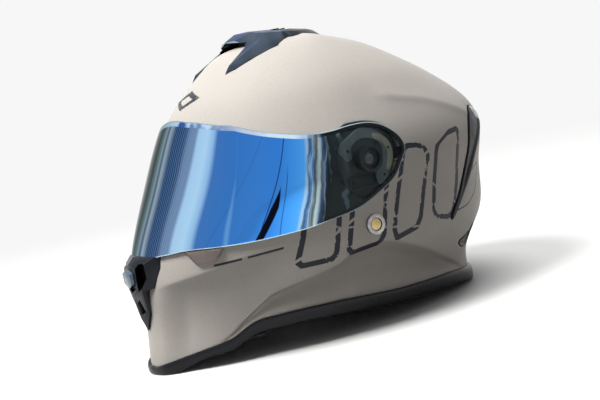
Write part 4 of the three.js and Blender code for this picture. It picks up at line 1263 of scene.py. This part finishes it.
def keep_inside(points, clearance):
    """Moves points below z 110 in, to stay clear of the creased surface."""
    x, y, z = points.T
    s = s_of_z(np.clip(z, 3.2, 250))
    middle = middle_at(s)
    half_length = np.where(y < middle, middle - front_at(s), rear_at(s) - middle)
    a, b = (middle - y) / half_length, x / half_width_at(s)
    power = np.where(a >= 0, front_power(s), rear_power(s))
    share = (np.abs(a) ** power + np.abs(b) ** power) ** (1 / power)
    radius = np.hypot(x, y - middle) / np.maximum(share, 1e-6)
    allowed = 1 - (clearance - relief(s, np.arctan2(b, a))) / radius
    k = np.where((share > allowed) & (z < 110), allowed / share, 1.0)
    return np.stack([x * k, middle + (y - middle) * k, z], 1)


for node, name in (("eps_crown_liner", "impact_liner_crown"),
                   ("eps_chin_liner", "impact_liner_chin")):
    ob, points = remeshed(node, name, 0.0035, 6)
    shift = np.array([0, Y_SHIFT, 0])
    write_points(ob, (keep_inside(points / MM - shift, 5.6) + shift) * MM)
    dress(ob, FOAM, node)

# Soft pads, in metres: CAD piece, name, voxel, shrink before inflating,
# inflating pressure, farthest a point may move.
PADS = [
    ("crown_pad", "crown_padding", 0.0045, 0.0016, 4.0, 0.0035),
    ("cheek_pad_left", "cheek_padding_left", 0.0045, 0.003, 5.0, 0.005),
    ("cheek_pad_right", "cheek_padding_right", 0.0045, 0.003, 5.0, 0.005),
    ("neck_roll", "neck_padding", 0.0045, 0.002, 5.0, 0.004),
    ("strap_pad_left", "strap_padding_left", 0.002, 0.0006, 5.0, 0.0015),
    ("strap_pad_right", "strap_padding_right", 0.002, 0.0006, 5.0, 0.0015),
]
LAST_FRAME = 20
SEAM_WIDTH = 4.0  # mm


def add_cloth(ob, pressure):
    cloth = ob.modifiers.new("Cloth", "CLOTH")
    settings = cloth.settings
    settings.quality = 4
    settings.mass = 0.3
    settings.use_pressure = True
    settings.uniform_pressure_force = pressure
    settings.effector_weights.gravity = 0
    settings.tension_stiffness = 25
    settings.compression_stiffness = 25
    settings.bending_stiffness = 2
    cloth.collision_settings.use_collision = False
    cloth.point_cache.frame_start = 1
    cloth.point_cache.frame_end = LAST_FRAME


def inflate(pads):
    """Runs the cloth and returns the pads with moved points."""
    for i in range(1, LAST_FRAME + 1):
        scene.frame_set(i)
    depsgraph = bpy.context.evaluated_depsgraph_get()
    moved = []
    for ob, node, points, limit in pads:
        move = read_vectors(ob.evaluated_get(depsgraph).data.vertices, "co") - points
        size = np.linalg.norm(move, axis=1, keepdims=True)
        points = points + move * np.minimum(1, limit / np.maximum(size, 1e-9))
        moved.append((ob, node, points, limit))
    for ob, _, points, _ in moved:
        ob.modifiers.clear()
        write_points(ob, points)
    scene.frame_set(1)
    return moved


def pad_seams(node, x, y, z):
    """Sewn channels of a pad: distance from the seam in mm, depth in metres."""
    if node == "crown_pad":
        return [(np.abs(x) - 38, 0.0022), (z - 168, 0.002)]
    if node.startswith("cheek"):
        return [(y + 52, 0.0025), (y + 14, 0.0025)]
    if node == "neck_roll":
        return [(np.abs(x), 0.0018), (np.abs(x) - 44, 0.0018)]
    return []


pads = []
for node, name, voxel, shrink, pressure, limit in PADS:
    ob, points = remeshed(node, name, voxel, 10)
    points = points - read_vectors(ob.data.vertices, "normal") * shrink
    write_points(ob, points)
    pads.append((ob, node, points, limit))
    add_cloth(ob, pressure)
pads = inflate(pads)

for ob, node, points, _ in pads:
    normals = read_vectors(ob.data.vertices, "normal")
    for distance, depth in pad_seams(node, *(points / MM).T):
        points = points - normals * (depth * np.exp(-((distance / SEAM_WIDTH) ** 2)))[:, None]
    write_points(ob, points)
    subdivision = ob.modifiers.new("subdivision", "SUBSURF")
    subdivision.levels = 1
    subdivision.render_levels = 1
    ob.data.shade_smooth()
    dress(ob, NET if node == "crown_pad" else BRUSHED, node)


def chin_curtain():
    """Thin draped panel that hangs a little in the middle."""
    ob, points = remeshed("chin_curtain", "chin_wind_curtain", 0.0016, 4)
    x, y, _ = (points / MM).T
    sag = 2.0 * np.exp(-((x / 45) ** 2))
    sag = sag + 0.5 * np.sin(x * 0.22) * np.exp(-((y + 120) / 40) ** 2)
    points[:, 2] -= np.clip(sag, -0.5, 2.6) * MM
    write_points(ob, points)
    dress(ob, NET, "chin_curtain")


chin_curtain()

# ---------------------------------------------------------------- chin strap webbing
# Centre line of the left strap in (x, z); the right one goes on past the middle.
STRAP_LEFT = [(109, 98), (109, 84), (107, 68), (103, 54), (95, 43), (82, 36.5), (66, 33.5),
              (48, 32.5)]
STRAP_RIGHT = [(-x, z) for x, z in STRAP_LEFT[:7]] + [(-40, 32.5), (-6, 32.5)]


def strap(name, node, line):
    """Flat ribbed band, y -17 to 5, that slants towards -Y as it drops below z 88."""
    p = np.array(line, float)
    steps = np.linalg.norm(np.diff(p, axis=0), axis=1)
    length = np.concatenate([[0], np.cumsum(steps)])
    n = int(length[-1] / 1.2)
    t = np.linspace(0, length[-1], n)
    kernel = np.exp(-0.5 * (np.arange(-6, 7) / 2.6) ** 2)
    kernel /= kernel.sum()
    x, z = [
        np.convolve(np.pad(np.interp(t, length, values), 6, mode="reflect", reflect_type="odd"),
                    kernel, "valid") for values in p.T]
    dx, dz = np.gradient(x), np.gradient(z)
    size = np.hypot(dx, dz)
    normal_x, normal_z = -dz / size, dx / size
    threads = 19
    around = 2 * threads
    rib = 0.06 * np.cos(np.arange(n) * math.pi)
    verts = []
    for side in (1, -1):
        for j, y in enumerate(np.linspace(-17, 5, threads)):
            from_edge = min(j, threads - 1 - j)
            half = 0.95 * (1 - math.exp(-from_edge * 1.4)) + 0.12 * math.cos(j * math.pi)
            out = side * (half + rib)
            points = np.stack([x + out * normal_x, np.full(n, y), z + out * normal_z], 1)
            points[:, 1] += 0.75 * (np.minimum(z, 88) - 88)
            verts.append(points)
    order = list(range(threads)) + list(range(around - 1, threads - 1, -1))
    verts = np.stack(verts)[order].reshape(-1, 3)
    a, b, c, d = grid_corners(around, n, close_rows=True)
    turn = -1 if x[0] < 0 else 1  # the right strap is a mirror image
    faces = [list(face)[::turn] for face in np.stack([a, b, d, c], -1).reshape(-1, 4)]
    faces.append([i * n for i in range(around)][::-turn])
    faces.append([i * n + n - 1 for i in range(around)][::turn])
    build(name, verts, faces, [WEBBING], node, sharp=60)


strap("strap_web_left", "chin_strap_left", STRAP_LEFT)
strap("strap_web_right", "chin_strap_right", STRAP_RIGHT)

# ---------------------------------------------------------------- floor, world, lights, camera
BACKDROP = (0.93, 0.93, 0.93, 1)


def floor():
    """Pale floor that fades into the backdrop 0.35 to 1.6 m from the origin."""
    me = bpy.data.meshes.new("floor")
    half = 60
    corners = [(-half, -half, 0), (half, -half, 0), (half, half, 0), (-half, half, 0)]
    me.from_pydata(corners, [], [(0, 1, 2, 3)])
    ob = bpy.data.objects.new("floor", me)
    collection.objects.link(ob)
    m = Surface("floor_pale", (0.86, 0.86, 0.85, 1), rough=0.8)
    position = m.node("ShaderNodeNewGeometry").outputs["Position"]
    distance = m.output("ShaderNodeVectorMath", {0: position}, "Value", operation="LENGTH")
    path = m.node("ShaderNodeLightPath").outputs
    # bright where seen or mirrored, darker as a source of bounced light
    seen = m.math("MAXIMUM", path["Is Camera Ray"], path["Is Glossy Ray"])
    strength = m.remap(seen, (0, 1), to=(0.13, 1.0))
    glow = m.output("ShaderNodeEmission", {0: BACKDROP, 1: strength})
    m.set("Base Color", m.mix(seen, (0.16, 0.16, 0.16, 1), (0.9, 0.9, 0.89, 1)))
    blend = m.mix_shader(m.remap(distance, (0.35, 1.6)), m.bsdf.outputs[0], glow)
    m.feed(m.tree.nodes["Material Output"].inputs[0], blend)
    me.materials.append(m.material)


def studio_world():
    """Separate backgrounds for lighting, mirror rays and the camera."""
    world = bpy.data.worlds.new("studio")
    scene.world = world
    world.use_nodes = True
    w = Shader(world.node_tree)
    up = w.xyz(w.node("ShaderNodeTexCoord").outputs["Generated"])[2]
    height = w.remap(up, (-1, 1))
    greys = [(p, (q, q, q * 1.02, 1)) for p, q in ((0.44, 0.22), (0.52, 0.62), (0.62, 0.85))]
    light = w.tree.nodes["Background"]
    w.feed(light.inputs[0], w.ramp(height, [
        (0.0, (0.16, 0.16, 0.165, 1)), *greys, (1.0, (0.95, 0.97, 1.0, 1))]))
    w.feed(light.inputs[1], 0.22)
    backdrop = w.output("ShaderNodeBackground", {0: BACKDROP, 1: 1.0})
    mirror_ramp = w.ramp(height, [
        (0.0, (0.7, 0.7, 0.7, 1)), (0.5, (0.98, 0.98, 0.98, 1)), (1.0, (0.9, 0.94, 1.0, 1))])
    mirrored = w.output("ShaderNodeBackground", {0: mirror_ramp, 1: 1.0})
    path = w.node("ShaderNodeLightPath").outputs
    unseen = w.mix_shader(path["Is Glossy Ray"], light.outputs[0], mirrored)
    w.feed(w.tree.nodes["World Output"].inputs[0],
           w.mix_shader(path["Is Camera Ray"], unseen, backdrop))


def area_light(name, place, size, power, color):
    """Disc light aimed at the middle of the helmet, unseen in mirrors."""
    light = bpy.data.lights.new(name, "AREA")
    light.shape = "DISK"
    light.size = size
    light.energy = power
    light.color = color
    ob = bpy.data.objects.new(name, light)
    collection.objects.link(ob)
    z = np.array(place, float) - np.array((0, 0, 0.15), float)
    z /= np.linalg.norm(z)
    # a light almost overhead takes the world's x axis
    x = np.cross([0, 0, 1.0], z) if abs(z[2]) < 0.99 else np.array([1.0, 0, 0])
    x /= np.linalg.norm(x)
    pose = np.eye(4)
    pose[:3] = np.stack([x, np.cross(z, x), z, place], 1)
    ob.matrix_world = Matrix(pose.tolist())
    ob.visible_glossy = False


def camera():
    data = bpy.data.cameras.new("camera")
    data.sensor_width = 36
    data.lens = 65.9647
    data.shift_x = 0.012672
    data.shift_y = -0.066472
    data.clip_start = 0.01
    data.clip_end = 200
    ob = bpy.data.objects.new("camera", data)
    collection.objects.link(ob)
    # columns: right, up, back, place
    ob.matrix_world = Matrix([
        [0.4582953, 0.04011209, 0.88789438, 0.887894],
        [0.86118027, 0.22706338, -0.45476451, -0.457613],
        [-0.21984985, 0.97305357, 0.06951834, 0.215228],
        [0, 0, 0, 1]])
    scene.camera = ob


floor()
studio_world()
area_light("key", (0.0, -1.25, 1.98), size=1.1, power=66, color=(1.0, 0.99, 0.975))
area_light("top", (0.1, 0.1, 2.3), size=1.2, power=32, color=(1.0, 0.99, 0.98))
area_light("back", (-1.2, 1.4, 1.4), size=1.2, power=5, color=(0.96, 0.98, 1.0))
camera()
scene.view_settings.view_transform = "Standard"
scene.view_settings.look = "None"
